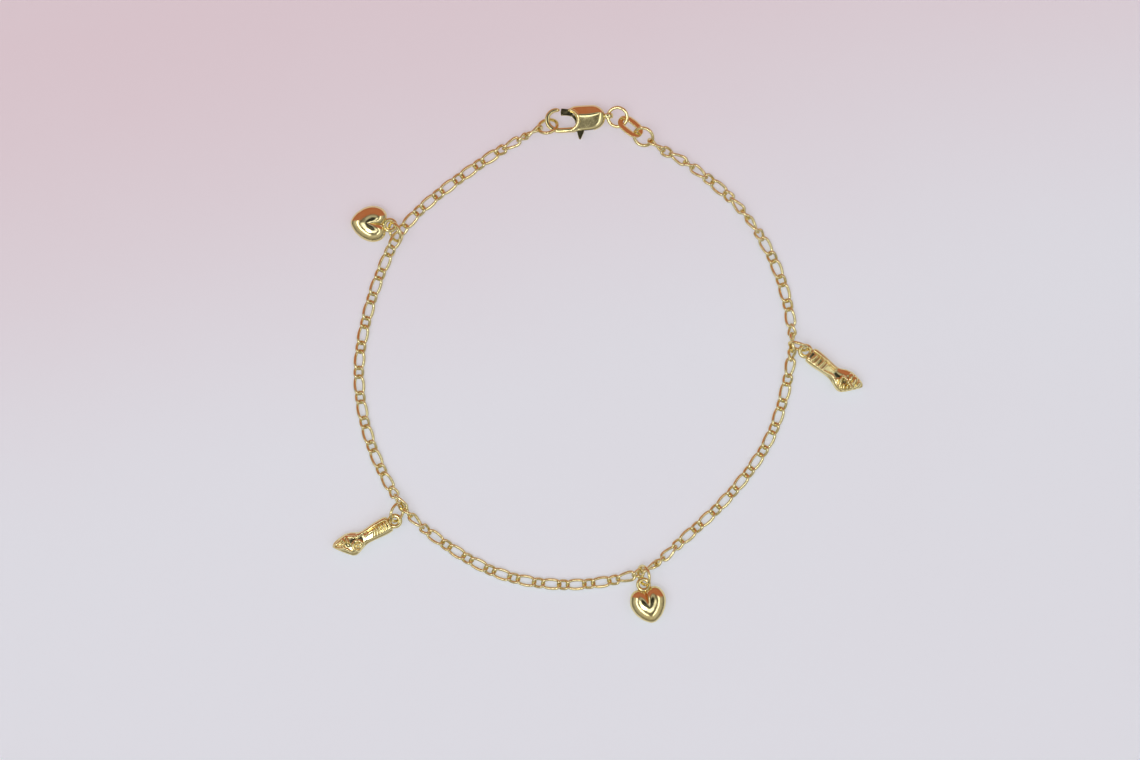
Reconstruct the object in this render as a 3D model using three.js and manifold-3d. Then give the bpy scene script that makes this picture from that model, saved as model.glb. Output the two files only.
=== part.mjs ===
// A charm bracelet lying on a flat surface, in millimetres, with +Z up.
// A figaro chain, a lobster clasp with its rings and joining tab, two puffed hearts and two figa hands.
// Seen from above, +Y is the clasp's side of the loop, and z = 0 is the surface.

import * as THREE from 'three';
import { mergeVertices } from 'three/addons/utils/BufferGeometryUtils.js';
import Module from 'manifold-3d';

const wasm = await Module();
wasm.setup();

const DEGREE = Math.PI / 180;

// Chain: a long oval link, then a short round one, 51 ovals and 50 rounds in turn.
const LINK_COUNT = 101;
const LAST_LEFT_LINK = 50; // the left run of the chain ends with this link
const LINK_WIRE_RADIUS = 0.187; // to a corner of the five-sided wire, which is 0.34 across
const LINK_WIRE_SIDES = 5;
const LINK_SEGMENTS = 10;
const OVAL = { halfLength: 1.345, halfWidth: 0.63 }; // of the wire's centre line
const ROUND = { halfLength: 0.795, halfWidth: 0.57 };
const LINK_TWIST = -0.25; // how far a link's wire leaves its plane, which lets flat links interlock
const LINK_LAP = 0.305; // how far the centre lines of neighbouring links reach past each other
const RUN_GAP = 0.07; // how much further the two runs reach past each other, to stay clear

// The chain's way round the loop, from the clasp's ring on the left to the end ring on the right.
const ROUTE = [
  // x, y
  [-8.5, 34.5], [-16.2, 30.0], [-23.9, 24.4], [-28.0, 20.5], [-30.5, 16.4], [-33.5, 8.2],
  [-35.0, -1.5], [-33.3, -11.4], [-28.6, -20.6], [-23.5, -25.4], [-14.2, -30.6], [-3.6, -32.1],
  [6.7, -30.0], [12.2, -25.6], [19.3, -18.8], [24.9, -10.8], [27.7, -1.2], [28.1, 5.2],
  [25.6, 14.9], [20.1, 23.3], [12.4, 29.6], [9.4, 31.2], [7.4, 32.6],
];

// The chain rolls over by half a turn where a charm's ring pulls at it, and lies flat between.
const ROLLS = [
  // link, roll in degrees
  [0, -90], [1, -75], [2, -50], [3, -30], [4, -12], [5, 0],
  [33, 0], [34, 12], [35, 28], [36, 50], [37, 90], [38, 120], [39, 140], [40, 162], [41, 180],
  [54, 180], [55, 190], [56, 205], [57, 220], [58, 255], [59, 285], [60, 315], [61, 342], [62, 360],
  [76, 360], [77, 366], [78, 382], [79, 410], [80, 448], [81, 488], [82, 522], [83, 540],
  [87, 540], [88, 550], [89, 570], [90, 598], [91, 630], [92, 664], [93, 694], [94, 714],
  [95, 730], [96, 756], [97, 800], [98, 850], [99, 910], [100, 985],
];

// Joints between links that something lifts off the surface.
const LIFTS = [
  // joint, height of the chain's centre line there
  [0, 1.15], [1, 0.9], [13, 0.6], [14, 0.95], [15, 0.95], [16, 0.6],
  [36, 0.8], [37, 0.95], [38, 0.95], [57, 1.1], [58, 1.1], [100, 0.85], [101, 1.1],
];

// Clasp: its own x runs from the hook to the tail, its y across, and its middle plane is level.
// In an outline, two numbers are a corner, and six are a curve's two control points and its end.
const CLASP = { x: -3.21, y: 35.84, turn: 4.3, thickness: 2.2 };
const HOOK_THICKNESS = 0.7;
const HOOK_EDGE = 0.12;
const HOOK_OUTLINE = [
  [0.4, -2.0], [-2.95, -2.0], [-4.14, -2.0, -4.69, -1.13, -4.69, -0.13],
  [-4.69, 0.77, -3.7, 1.73, -2.75, 1.73], [-2.35, 1.61], [-2.35, 1.01], [-2.7, 1.09],
  [-3.05, 1.13, -4.19, 0.67, -4.19, -0.13], [-4.19, -0.83, -3.15, -1.28, -2.35, -1.28], [0.4, -1.28],
];
const BODY_EDGE = 0.62;
const BODY_OUTLINE = [
  [-1.05, -1.98], [1.15, -2.03], [3.1, -2.03, 4.2, -1.03, 4.2, -0.1],
  [4.2, 1.1, 3.5, 1.77, 2.3, 1.77], [-1.05, 1.82],
];
const BITE = { x: -1.27, y: -0.2, radius: 1.3 }; // the round end of the clasp's mouth
const TAIL_EYE = { x: 4.5, outer: 0.85, inner: 0.52, width: 0.7 };
const EYE_SIDES = 10;
const PIVOT = { x: -0.235, y: 0.765, pinRadius: 0.25, holeRadius: 0.36, hubRadius: 0.58 };
const PIN_SIDES = 8;
const PIN_ROOTS = 0.2; // how much of the pin's length is sunk in the two walls
const LEVER_THICKNESS = 0.7;
const LEVER_OUTLINE = [
  // the gate's end, its lower edge, the trigger, and back up to the hub
  [-2.15, 1.56], [-2.285, 1.055], [-2.295, 0.55], [-1.2, 0.45], [-0.72, 0.3], [-0.3, -0.4],
  [-0.1, -2.03], [0.11, -3.18], [0.39, -3.18], [0.92, -2.03], [0.5, 0.1],
];
const HUB_ARC = { from: -20, to: 101 }; // degrees
const GATE_SHOULDER = [-1.3, 1.42];
const SLOT_THICKNESS = 0.94;
const SLOT_OUTLINE = [
  // room for the lever at rest and pressed in by 30 degrees
  [-2.05, 1.445], [0.165, 1.445], [0.515, 1.065], [0.86, 0.62], [2.3, -1.05], [2.42, -3.03],
  [-0.22, -3.03], [-0.4, -0.6], [-2.05, -0.6],
];

// Rings of round wire. A ring leans down towards its low side by its tilt.
const RING_WIRE_RADIUS = 0.24;
const RING_RADIUS = 1.4; // of the wire's centre line
const CHARM_RING_WIRE_RADIUS = 0.2;
const CHARM_RING_RADIUS = 1.38;
const RING_SEGMENTS = 12;
const RING_SIDES = 5;
const RINGS = [
  // name, x, y, z, low side in degrees, tilt in degrees
  ['clasp_ring', -7.45, 34.67, 1.21, 106, 43],
  ['tail_ring', 2.72, 36.02, 1.13, -117, 15],
  ['end_ring', 6.48, 33.16, 1.11, 240, 33.3],
];
const CHARM_RINGS = [
  ['heart_left_ring', -29.67, 19.3, 1.41, -158, 57],
  ['hand_left_ring', -29.35, -21.48, 1.3, -19, 56],
  ['heart_bottom_ring', 6.54, -30.67, 1.33, 190, 57.4],
  ['hand_right_ring', 29.0, 2.65, 1.71, -109, 73.4],
];

// Joining tab: a flat oval stamping with one slot, leaning on its upper edge.
const TAB = {
  x: 4.6, y: 34.62, z: 1.13, heading: -38.8, pitch: -2.8, roll: -46,
  length: 3.95, width: 2.4, band: 0.62, thickness: 0.3,
};

// Puffed hearts, with the way from the notch to the tip as their own x axis.
const HEART = { halfWidth: 2.65, thickness: 2.4, valley: 0.38, valleySpread: 26 };
const HEART_COLUMNS = 18;
const HEART_ROWS = 8;
const HEART_OUTLINE = [
  // degrees from the tip, radius over the half width
  [0, 1.04], [25, 0.97], [50, 0.9], [75, 0.93], [105, 1.03], [130, 1.09], [145, 1.08],
  [156, 1.0], [166, 0.87], [180, 0.78],
];
const BAIL = { radius: 0.75, wireRadius: 0.3, segments: 9, heartX: -2.98, handX: -0.75 };
const HEARTS = [
  // name, x, y, direction of the tip in degrees, nod towards the bail in degrees
  ['heart_left', -33.33, 20.51, 175.7, 4],
  ['heart_bottom', 7.25, -34.85, -75.1, 4],
];

// Figa hands. Their own x runs from the cuff to the fist, and the fist bends to +y.
const HAND_THICKNESS = 0.86; // the forearm's depth over its width
const FIST_BEND = 16;
const FOREARM = [
  // x, half width
  [0, 1.05], [0.12, 1.22], [0.5, 1.24], [0.7, 1.12], [0.9, 1.24], [1.2, 1.24], [1.4, 1.1],
  [1.6, 1.2], [1.9, 1.18], [2.1, 1.06], [3.4, 1.0], [4.4, 0.95], [5.4, 1.0],
];
const FOREARM_SIDES = 7;
const WRIST_X = 4.5;
const FIST = { x: 2.0, y: -0.25, halfLength: 2.15, halfWidth: 1.35, halfDepth: 1.12 };
const FINGERS = [
  // x from the wrist, y of the knuckle, y of the tip
  [1.05, 0.15, -1.75], [1.85, 0.55, -1.7], [2.65, 0.75, -1.45], [3.4, 0.65, -1.1],
];
const FINGER = { radius: 0.42, lean: 0.2, knuckleHeight: 0.43, tipHeight: 0.22 };
const THUMB = { x: 1.4, y: 0.75, turn: -28, length: 1.5, radius: 0.36, height: 0.8 };
const HANDS = [
  // name, x, y, direction of the forearm in degrees, turned over or not
  ['hand_left', -30.37, -23.13, 208.5, true],
  ['hand_right', 30.65, 1.49, -37.9, false],
];

// The loop's middle, which is set over the origin.
const MIDDLE = { x: -0.182, y: 0.135 };

const GOLD = 0xd9b65a;
const METALNESS = 1.0;
const MERGE_DISTANCE = 1e-5;

/** Polished gold, a little warmer or paler from piece to piece. */
function goldMaterial(colour = GOLD, roughness = 0.18) {
  return new THREE.MeshStandardMaterial({ color: colour, metalness: METALNESS, roughness });
}

/** A closed geometry as a solid that can be joined and cut. */
function solid(geometry) {
  const bare = geometry.clone();
  bare.deleteAttribute('normal');
  bare.deleteAttribute('uv');
  const merged = mergeVertices(bare, MERGE_DISTANCE);
  return new wasm.Manifold(new wasm.Mesh({
    numProp: 3,
    vertProperties: Float32Array.from(merged.attributes.position.array),
    triVerts: Uint32Array.from(merged.index.array),
  }));
}

/** A joined or cut solid as a geometry. */
function geometryOf(manifold) {
  const mesh = manifold.getMesh();
  const geometry = new THREE.BufferGeometry();
  geometry.setAttribute('position', new THREE.BufferAttribute(mesh.vertProperties, 3));
  geometry.setIndex(new THREE.BufferAttribute(mesh.triVerts, 1));
  geometry.computeVertexNormals();
  return geometry;
}

/** A named mesh of one piece. */
function piece(name, geometry, material = goldMaterial()) {
  const mesh = new THREE.Mesh(geometry, material);
  mesh.name = name;
  return mesh;
}

/** Straight-line reading of a table whose rows start with an ascending key. */
function readTable(rows, key) {
  if (key <= rows[0][0]) return rows[0][1];
  for (let i = 1; i < rows.length; i += 1) {
    const [before, low] = rows[i - 1];
    const [after, high] = rows[i];
    if (key <= after) return low + ((high - low) * (key - before)) / (after - before);
  }
  return rows[rows.length - 1][1];
}

/** The centre line of one link: an oval whose ends lean opposite ways. */
class LinkCurve extends THREE.Curve {
  constructor({ halfLength, halfWidth }) {
    super();
    this.halfLength = halfLength / Math.cos(Math.PI / LINK_SEGMENTS);
    this.halfWidth = halfWidth;
  }

  // Half a step round, so that a straight stretch of the wire lies across each end of the link.
  angleAt(t) {
    return 2 * Math.PI * (t + 0.5 / LINK_SEGMENTS);
  }

  getPoint(t, target = new THREE.Vector3()) {
    const angle = this.angleAt(t);
    return target.set(
      this.halfLength * Math.cos(angle),
      this.halfWidth * Math.sin(angle),
      LINK_TWIST * Math.sin(2 * angle),
    );
  }

  // Even steps of angle, not of length.
  getUtoTmapping(u) {
    return u;
  }

  // The wire's section is turned so that one of its edges faces the link's middle all the way
  // round, and neighbouring links touch edge on edge.
  computeFrenetFrames(segments) {
    const frames = { tangents: [], normals: [], binormals: [] };
    for (let i = 0; i <= segments; i += 1) {
      const angle = this.angleAt(i / segments);
      const tangent = new THREE.Vector3(
        -this.halfLength * Math.sin(angle),
        this.halfWidth * Math.cos(angle),
        2 * LINK_TWIST * Math.cos(2 * angle),
      ).normalize();
      const outward = new THREE.Vector3(
        this.halfWidth * Math.cos(angle), this.halfLength * Math.sin(angle), 0,
      );
      const binormal = tangent.clone().cross(outward).normalize();
      frames.tangents.push(tangent);
      frames.normals.push(binormal.clone().cross(tangent));
      frames.binormals.push(binormal);
    }
    return frames;
  }
}

/** The size of a link: ovals and rounds in turn, an oval first. */
function linkSize(index) {
  return index % 2 === 0 ? OVAL : ROUND;
}

/** How far a rolled link reaches below its own axis. */
function linkReach(index, roll) {
  const { halfWidth } = linkSize(index);
  const steps = 48;
  let reach = 0;
  for (let i = 0; i < steps; i += 1) {
    const angle = (2 * Math.PI * i) / steps;
    const height = halfWidth * Math.sin(angle) * Math.sin(roll)
      + LINK_TWIST * Math.sin(2 * angle) * Math.cos(roll);
    reach = Math.max(reach, Math.abs(height));
  }
  return reach + LINK_WIRE_RADIUS;
}

/** The points where neighbouring links meet, each at the height that its links rest at. */
function chainJoints() {
  const route = new THREE.CatmullRomCurve3(
    ROUTE.map(([x, y]) => new THREE.Vector3(x, y, 0)), false, 'centripetal',
  );
  route.arcLengthDivisions = 4000;
  const places = [0];
  for (let i = 0; i < LINK_COUNT; i += 1) {
    places.push(places[i] + 2 * linkSize(i).halfLength - LINK_LAP);
  }
  const total = places[LINK_COUNT];
  const lifts = new Map(LIFTS);
  return places.map((place, joint) => {
    const point = route.getPointAt(place / total);
    const before = Math.max(joint - 1, 0);
    const after = Math.min(joint, LINK_COUNT - 1);
    const rest = Math.max(
      linkReach(before, readTable(ROLLS, before) * DEGREE),
      linkReach(after, readTable(ROLLS, after) * DEGREE),
    );
    return point.setZ(lifts.get(joint) ?? rest);
  });
}

/** The place and turn of each link. */
function linkMatrices() {
  const joints = chainJoints();
  const up = new THREE.Vector3(0, 0, 1);
  return Array.from({ length: LINK_COUNT }, (_, i) => {
    const along = joints[i + 1].clone().sub(joints[i]).normalize();
    const centre = joints[i].clone().add(joints[i + 1]).multiplyScalar(0.5);
    if (i === LAST_LEFT_LINK) centre.addScaledVector(along, RUN_GAP / 2);
    if (i === LAST_LEFT_LINK + 1) centre.addScaledVector(along, -RUN_GAP / 2);
    const across = up.clone().cross(along).normalize();
    const over = along.clone().cross(across);
    const roll = readTable(ROLLS, i) * DEGREE;
    return new THREE.Matrix4()
      .makeBasis(along, across, over)
      .setPosition(centre)
      .multiply(new THREE.Matrix4().makeRotationX(roll));
  });
}

/** A run of links joined into one body where they touch. */
function chainRun(name, matrices, first, last) {
  let run = null;
  for (let i = first; i <= last; i += 1) {
    const tube = new THREE.TubeGeometry(
      new LinkCurve(linkSize(i)), LINK_SEGMENTS, LINK_WIRE_RADIUS, LINK_WIRE_SIDES, true,
    );
    const link = solid(tube.applyMatrix4(matrices[i]));
    run = run ? run.add(link) : link;
  }
  return piece(name, geometryOf(run));
}

/** A ring of round wire, centred where it is made. */
function ringGeometry(radius, wireRadius) {
  return new THREE.TorusGeometry(radius, wireRadius, RING_SIDES, RING_SEGMENTS);
}

/** A ring that leans down towards its low side. */
function leaningRing([name, x, y, z, low, tilt], radius, wireRadius) {
  const ring = piece(name, ringGeometry(radius, wireRadius));
  const axis = new THREE.Vector3(-Math.sin(low * DEGREE), Math.cos(low * DEGREE), 0);
  ring.position.set(x, y, z);
  ring.quaternion.setFromAxisAngle(axis, tilt * DEGREE);
  return ring;
}

/** The flat tab with its slot. */
function connectorTab() {
  const { length, width, band, thickness } = TAB;
  const stadium = (Path, halfLength, halfWidth) => {
    const path = new Path();
    const straight = halfLength - halfWidth;
    path.absarc(straight, 0, halfWidth, -Math.PI / 2, Math.PI / 2, false);
    path.absarc(-straight, 0, halfWidth, Math.PI / 2, (3 * Math.PI) / 2, false);
    path.closePath();
    return path;
  };
  const shape = stadium(THREE.Shape, length / 2, width / 2);
  shape.holes.push(stadium(THREE.Path, length / 2 - band, width / 2 - band));
  const plate = new THREE.ExtrudeGeometry(shape, {
    depth: thickness, bevelEnabled: false, curveSegments: 4,
  });
  plate.translate(0, 0, -thickness / 2);
  const tab = piece('connector_tab', plate);
  tab.rotation.set(TAB.roll * DEGREE, TAB.pitch * DEGREE, TAB.heading * DEGREE, 'ZYX');
  tab.position.set(TAB.x, TAB.y, TAB.z);
  return tab;
}

/** A plate of the given outline, centred on the clasp's middle plane, with rounded edges. */
function claspPlate(shape, thickness, edge, edgeSegments, curveSegments) {
  const plate = new THREE.ExtrudeGeometry(shape, {
    depth: thickness - 2 * edge,
    bevelEnabled: edge > 0,
    bevelThickness: edge,
    bevelSize: edge,
    bevelOffset: -edge,
    bevelSegments: edgeSegments,
    curveSegments,
  });
  return plate.translate(0, 0, edge - thickness / 2);
}

/** A shape drawn from an outline of corners and curves. */
function outlineShape(rows) {
  const shape = new THREE.Shape();
  const [[startX, startY], ...rest] = rows;
  shape.moveTo(startX, startY);
  for (const row of rest) {
    if (row.length === 2) shape.lineTo(...row);
    else shape.bezierCurveTo(...row);
  }
  return shape;
}

/** An upright round bar centred on the clasp's middle plane. */
function uprightBar(radius, height, sides, x, y) {
  const bar = new THREE.CylinderGeometry(radius, radius, height, sides);
  return bar.rotateX(Math.PI / 2).translate(x, y, 0);
}

/** The eye behind the body, whose hole runs across the clasp. */
function tailEyeGeometry(radius, width) {
  return new THREE.CylinderGeometry(radius, radius, width, EYE_SIDES).translate(TAIL_EYE.x, 0, 0);
}

/** The clasp's hook, body, pin and tail eye, made as one. */
function claspBody() {
  const { x, y, pinRadius } = PIVOT;
  const block = claspPlate(outlineShape(BODY_OUTLINE), CLASP.thickness, BODY_EDGE, 2, 5);
  const bite = uprightBar(BITE.radius, 2 * CLASP.thickness, 16, BITE.x, BITE.y);
  const hook = claspPlate(outlineShape(HOOK_OUTLINE), HOOK_THICKNESS, HOOK_EDGE, 1, 3);
  const slot = claspPlate(outlineShape(SLOT_OUTLINE), SLOT_THICKNESS, 0, 1, 1);
  const joined = solid(block)
    .subtract(solid(bite))
    .add(solid(hook))
    .add(solid(tailEyeGeometry(TAIL_EYE.outer, TAIL_EYE.width)))
    .subtract(solid(tailEyeGeometry(TAIL_EYE.inner, 2 * TAIL_EYE.width)))
    .subtract(solid(slot))
    .add(solid(uprightBar(pinRadius, SLOT_THICKNESS + PIN_ROOTS, PIN_SIDES, x, y)));
  return piece('clasp_body', geometryOf(joined));
}

/** The clasp's lever: its gate, its hub on the pin and its trigger. */
function claspLever() {
  const { x, y, hubRadius, holeRadius } = PIVOT;
  const shape = outlineShape(LEVER_OUTLINE);
  shape.absarc(x, y, hubRadius, HUB_ARC.from * DEGREE, HUB_ARC.to * DEGREE, false);
  shape.lineTo(...GATE_SHOULDER);
  shape.closePath();
  const plate = claspPlate(shape, LEVER_THICKNESS, 0, 1, 4);
  const hole = uprightBar(holeRadius, 2 * LEVER_THICKNESS, PIN_SIDES, x, y);
  return piece('clasp_lever', geometryOf(solid(plate).subtract(solid(hole))));
}

/** The clasp, turned and set at its place. */
function clasp() {
  const group = new THREE.Group();
  group.add(claspBody(), claspLever());
  group.position.set(CLASP.x, CLASP.y, CLASP.thickness / 2);
  group.rotation.z = CLASP.turn * DEGREE;
  return group;
}

/** A soldered bail in the plane of its charm. */
function bailGeometry(x) {
  const bail = new THREE.TorusGeometry(BAIL.radius, BAIL.wireRadius, RING_SIDES, BAIL.segments);
  return bail.translate(x, 0, 0);
}

/** A puffed heart: a ball drawn out to the heart's outline, with a valley below the notch. */
function heartGeometry() {
  const { halfWidth, thickness, valley, valleySpread } = HEART;
  const ball = new THREE.SphereGeometry(1, HEART_COLUMNS, HEART_ROWS).rotateX(Math.PI / 2);
  const position = ball.attributes.position;
  for (let i = 0; i < position.count; i += 1) {
    const x = position.getX(i);
    const y = position.getY(i);
    const spread = Math.min(Math.hypot(x, y), 1);
    const angle = Math.abs(Math.atan2(y, x)) / DEGREE;
    const radius = halfWidth * readTable(HEART_OUTLINE, angle) * spread;
    const dip = valley * spread * Math.exp(-(((180 - angle) / valleySpread) ** 2));
    const direction = Math.atan2(y, x);
    position.setXYZ(
      i,
      radius * Math.cos(direction),
      radius * Math.sin(direction),
      (position.getZ(i) * thickness * (1 - dip)) / 2,
    );
  }
  return geometryOf(solid(ball).add(solid(bailGeometry(BAIL.heartX))));
}

/** A heart with its bail, nodding so that the bail comes down towards the chain. */
function heart([name, x, y, direction, nod]) {
  const mesh = piece(name, heartGeometry());
  mesh.rotation.set(0, -nod * DEGREE, direction * DEGREE, 'ZYX');
  mesh.position.set(x, y, HEART.thickness / 2);
  return mesh;
}

/** The forearm and its ribbed cuff: rings of points drawn out along x, closed at both ends. */
function forearmGeometry() {
  const profile = [
    new THREE.Vector2(0, FOREARM[0][0]),
    ...FOREARM.map(([x, halfWidth]) => new THREE.Vector2(halfWidth, x)),
    new THREE.Vector2(0, FOREARM[FOREARM.length - 1][0]),
  ];
  return new THREE.LatheGeometry(profile, FOREARM_SIDES)
    .rotateZ(-Math.PI / 2)
    .scale(1, 1, HAND_THICKNESS);
}

/** A finger: a ball stretched between two points of the fist. */
function fingerGeometry(radius, from, to) {
  const along = to.clone().sub(from);
  const rod = new THREE.SphereGeometry(1, 6, 4).scale(radius, along.length() / 2 + radius, radius);
  const turn = new THREE.Quaternion().setFromUnitVectors(
    new THREE.Vector3(0, 1, 0), along.clone().normalize(),
  );
  const middle = from.clone().add(to).multiplyScalar(0.5);
  return rod.applyQuaternion(turn).translate(middle.x, middle.y, middle.z);
}

/** The fist with its four folded fingers and the thumb pushed through them. */
function fistSolid() {
  const { x, y, halfLength, halfWidth, halfDepth } = FIST;
  const palm = new THREE.SphereGeometry(1, 8, 6).scale(halfLength, halfDepth, halfWidth);
  let fist = solid(palm.rotateX(Math.PI / 2).translate(x, y, 0));
  for (const [along, knuckle, tip] of FINGERS) {
    const from = new THREE.Vector3(along, knuckle, FINGER.knuckleHeight);
    const to = new THREE.Vector3(along + FINGER.lean, tip + FINGER.radius, FINGER.tipHeight);
    fist = fist.add(solid(fingerGeometry(FINGER.radius, from, to)));
  }
  const start = new THREE.Vector3(THUMB.x, THUMB.y, THUMB.height);
  const reach = new THREE.Vector3(THUMB.length, 0, 0)
    .applyAxisAngle(new THREE.Vector3(0, 0, 1), THUMB.turn * DEGREE);
  return fist.add(solid(fingerGeometry(THUMB.radius, start, start.clone().add(reach))));
}

/** A figa hand: forearm, cuff, bail and bent fist in one. */
function handGeometry() {
  const bend = new THREE.Matrix4()
    .makeRotationZ(FIST_BEND * DEGREE)
    .setPosition(WRIST_X, 0, 0);
  const fist = geometryOf(fistSolid()).applyMatrix4(bend);
  const whole = solid(forearmGeometry())
    .add(solid(fist))
    .add(solid(bailGeometry(BAIL.handX)));
  return geometryOf(whole);
}

/** A hand lying on one of its sides, with its lowest point on the surface. */
function hand([name, x, y, direction, turnedOver]) {
  const mesh = piece(name, handGeometry());
  mesh.rotation.set(turnedOver ? Math.PI : 0, 0, direction * DEGREE, 'ZYX');
  mesh.position.set(x, y, 0);
  return mesh;
}

/** Sets a piece down so that its lowest point is on the surface. */
function restOnSurface(mesh) {
  mesh.updateMatrixWorld(true);
  const box = new THREE.Box3().setFromObject(mesh, true);
  mesh.position.z -= box.min.z;
  return mesh;
}

const bracelet = new THREE.Group();
const matrices = linkMatrices();
bracelet.add(
  chainRun('figaro_chain_left', matrices, 0, LAST_LEFT_LINK),
  chainRun('figaro_chain_right', matrices, LAST_LEFT_LINK + 1, LINK_COUNT - 1),
  clasp(),
  connectorTab(),
);
for (const row of RINGS) bracelet.add(leaningRing(row, RING_RADIUS, RING_WIRE_RADIUS));
for (const row of CHARM_RINGS) {
  bracelet.add(leaningRing(row, CHARM_RING_RADIUS, CHARM_RING_WIRE_RADIUS));
}
for (const row of HEARTS) bracelet.add(restOnSurface(heart(row)));
for (const row of HANDS) bracelet.add(restOnSurface(hand(row)));
bracelet.position.set(-MIDDLE.x, -MIDDLE.y, 0);

export default bracelet;
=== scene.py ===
"""A fine gold charm bracelet lying on a pale floor.

A figaro chain of 101 links is closed by a lobster clasp with its three rings and a joining tab, and
carries two puffed hearts and two figa hands on jump rings. Sizes in the tables are millimetres.
"""

from __future__ import annotations

import logging
import math
from dataclasses import dataclass
from enum import Enum
from typing import Sequence, Union

import bmesh
import bpy
import numpy as np
from mathutils import Matrix, Vector

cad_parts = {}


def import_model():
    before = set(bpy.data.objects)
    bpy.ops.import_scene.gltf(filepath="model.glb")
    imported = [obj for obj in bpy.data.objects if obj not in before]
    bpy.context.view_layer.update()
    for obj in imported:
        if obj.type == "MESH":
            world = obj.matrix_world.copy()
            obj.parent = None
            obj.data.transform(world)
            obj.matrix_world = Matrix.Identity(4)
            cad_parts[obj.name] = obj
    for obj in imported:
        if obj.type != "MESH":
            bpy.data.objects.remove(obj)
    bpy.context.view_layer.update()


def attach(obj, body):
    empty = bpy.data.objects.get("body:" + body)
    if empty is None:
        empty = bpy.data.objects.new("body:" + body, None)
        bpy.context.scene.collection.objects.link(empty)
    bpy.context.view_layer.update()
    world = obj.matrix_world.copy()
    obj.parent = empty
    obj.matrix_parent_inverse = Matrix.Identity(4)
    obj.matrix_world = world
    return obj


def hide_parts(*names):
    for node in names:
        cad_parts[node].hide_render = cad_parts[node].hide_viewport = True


LOG = logging.getLogger("bracelet")
MM = 0.001
# The middle of the loop in the tables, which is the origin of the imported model.
MIDDLE = Vector((-0.182, 0.135, 0.0))
UP = np.array([0.0, 0.0, 1.0])
HOLLOW = "hollow"

Pair = tuple[float, float]
Triple = tuple[float, float, float]
Number = Union[int, float]


class Body(Enum):
    """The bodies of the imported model."""

    BRACELET = "bracelet"
    LEVER = "lever"


class Slot(Enum):
    """The record's material slots."""

    CHAIN = "chain_gold"
    CLASP = "clasp_gold"
    CHARM = "charm_gold"
    RING = "ring_gold"


# Shader helpers and finishes.


class Value:
    """A number socket in a node tree, with arithmetic that adds Math nodes."""

    def __init__(self, tree: "Tree", socket: bpy.types.NodeSocket | None) -> None:
        """Keeps the output socket and the tree that new nodes go into."""
        self.tree = tree
        self.socket = socket

    def _math(self, operation: str, *operands: Union["Value", Number]) -> "Value":
        """One Math node, from its operation and its inputs in order."""
        return self.tree.node("ShaderNodeMath", {"operation": operation}, dict(enumerate(operands)))

    def __add__(self, other: Union["Value", Number]) -> "Value":
        """The sum."""
        return self._math("ADD", self, other)

    def __radd__(self, other: Number) -> "Value":
        """The sum, with the number first."""
        return self._math("ADD", other, self)

    def __sub__(self, other: Union["Value", Number]) -> "Value":
        """The difference."""
        return self._math("SUBTRACT", self, other)

    def __rsub__(self, other: Number) -> "Value":
        """The difference, with the number first."""
        return self._math("SUBTRACT", other, self)

    def __mul__(self, other: Union["Value", Number]) -> "Value":
        """The product."""
        return self._math("MULTIPLY", self, other)

    def __rmul__(self, other: Number) -> "Value":
        """The product, with the number first."""
        return self._math("MULTIPLY", other, self)

    def ramp(self, low: float, high: float) -> "Value":
        """A smooth step from 0 at low to 1 at high."""
        settings = {"interpolation_type": "SMOOTHSTEP"}
        return self.tree.node("ShaderNodeMapRange", settings, {0: self, 1: low, 2: high})


@dataclass(frozen=True)
class Grain:
    """One layer of noise, with its lumps to the metre."""

    scale: float
    detail: float = 2.0
    roughness: float = 0.5
    stretch: Triple | None = None
    turn: Triple = (0.0, 0.0, 0.0)


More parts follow.
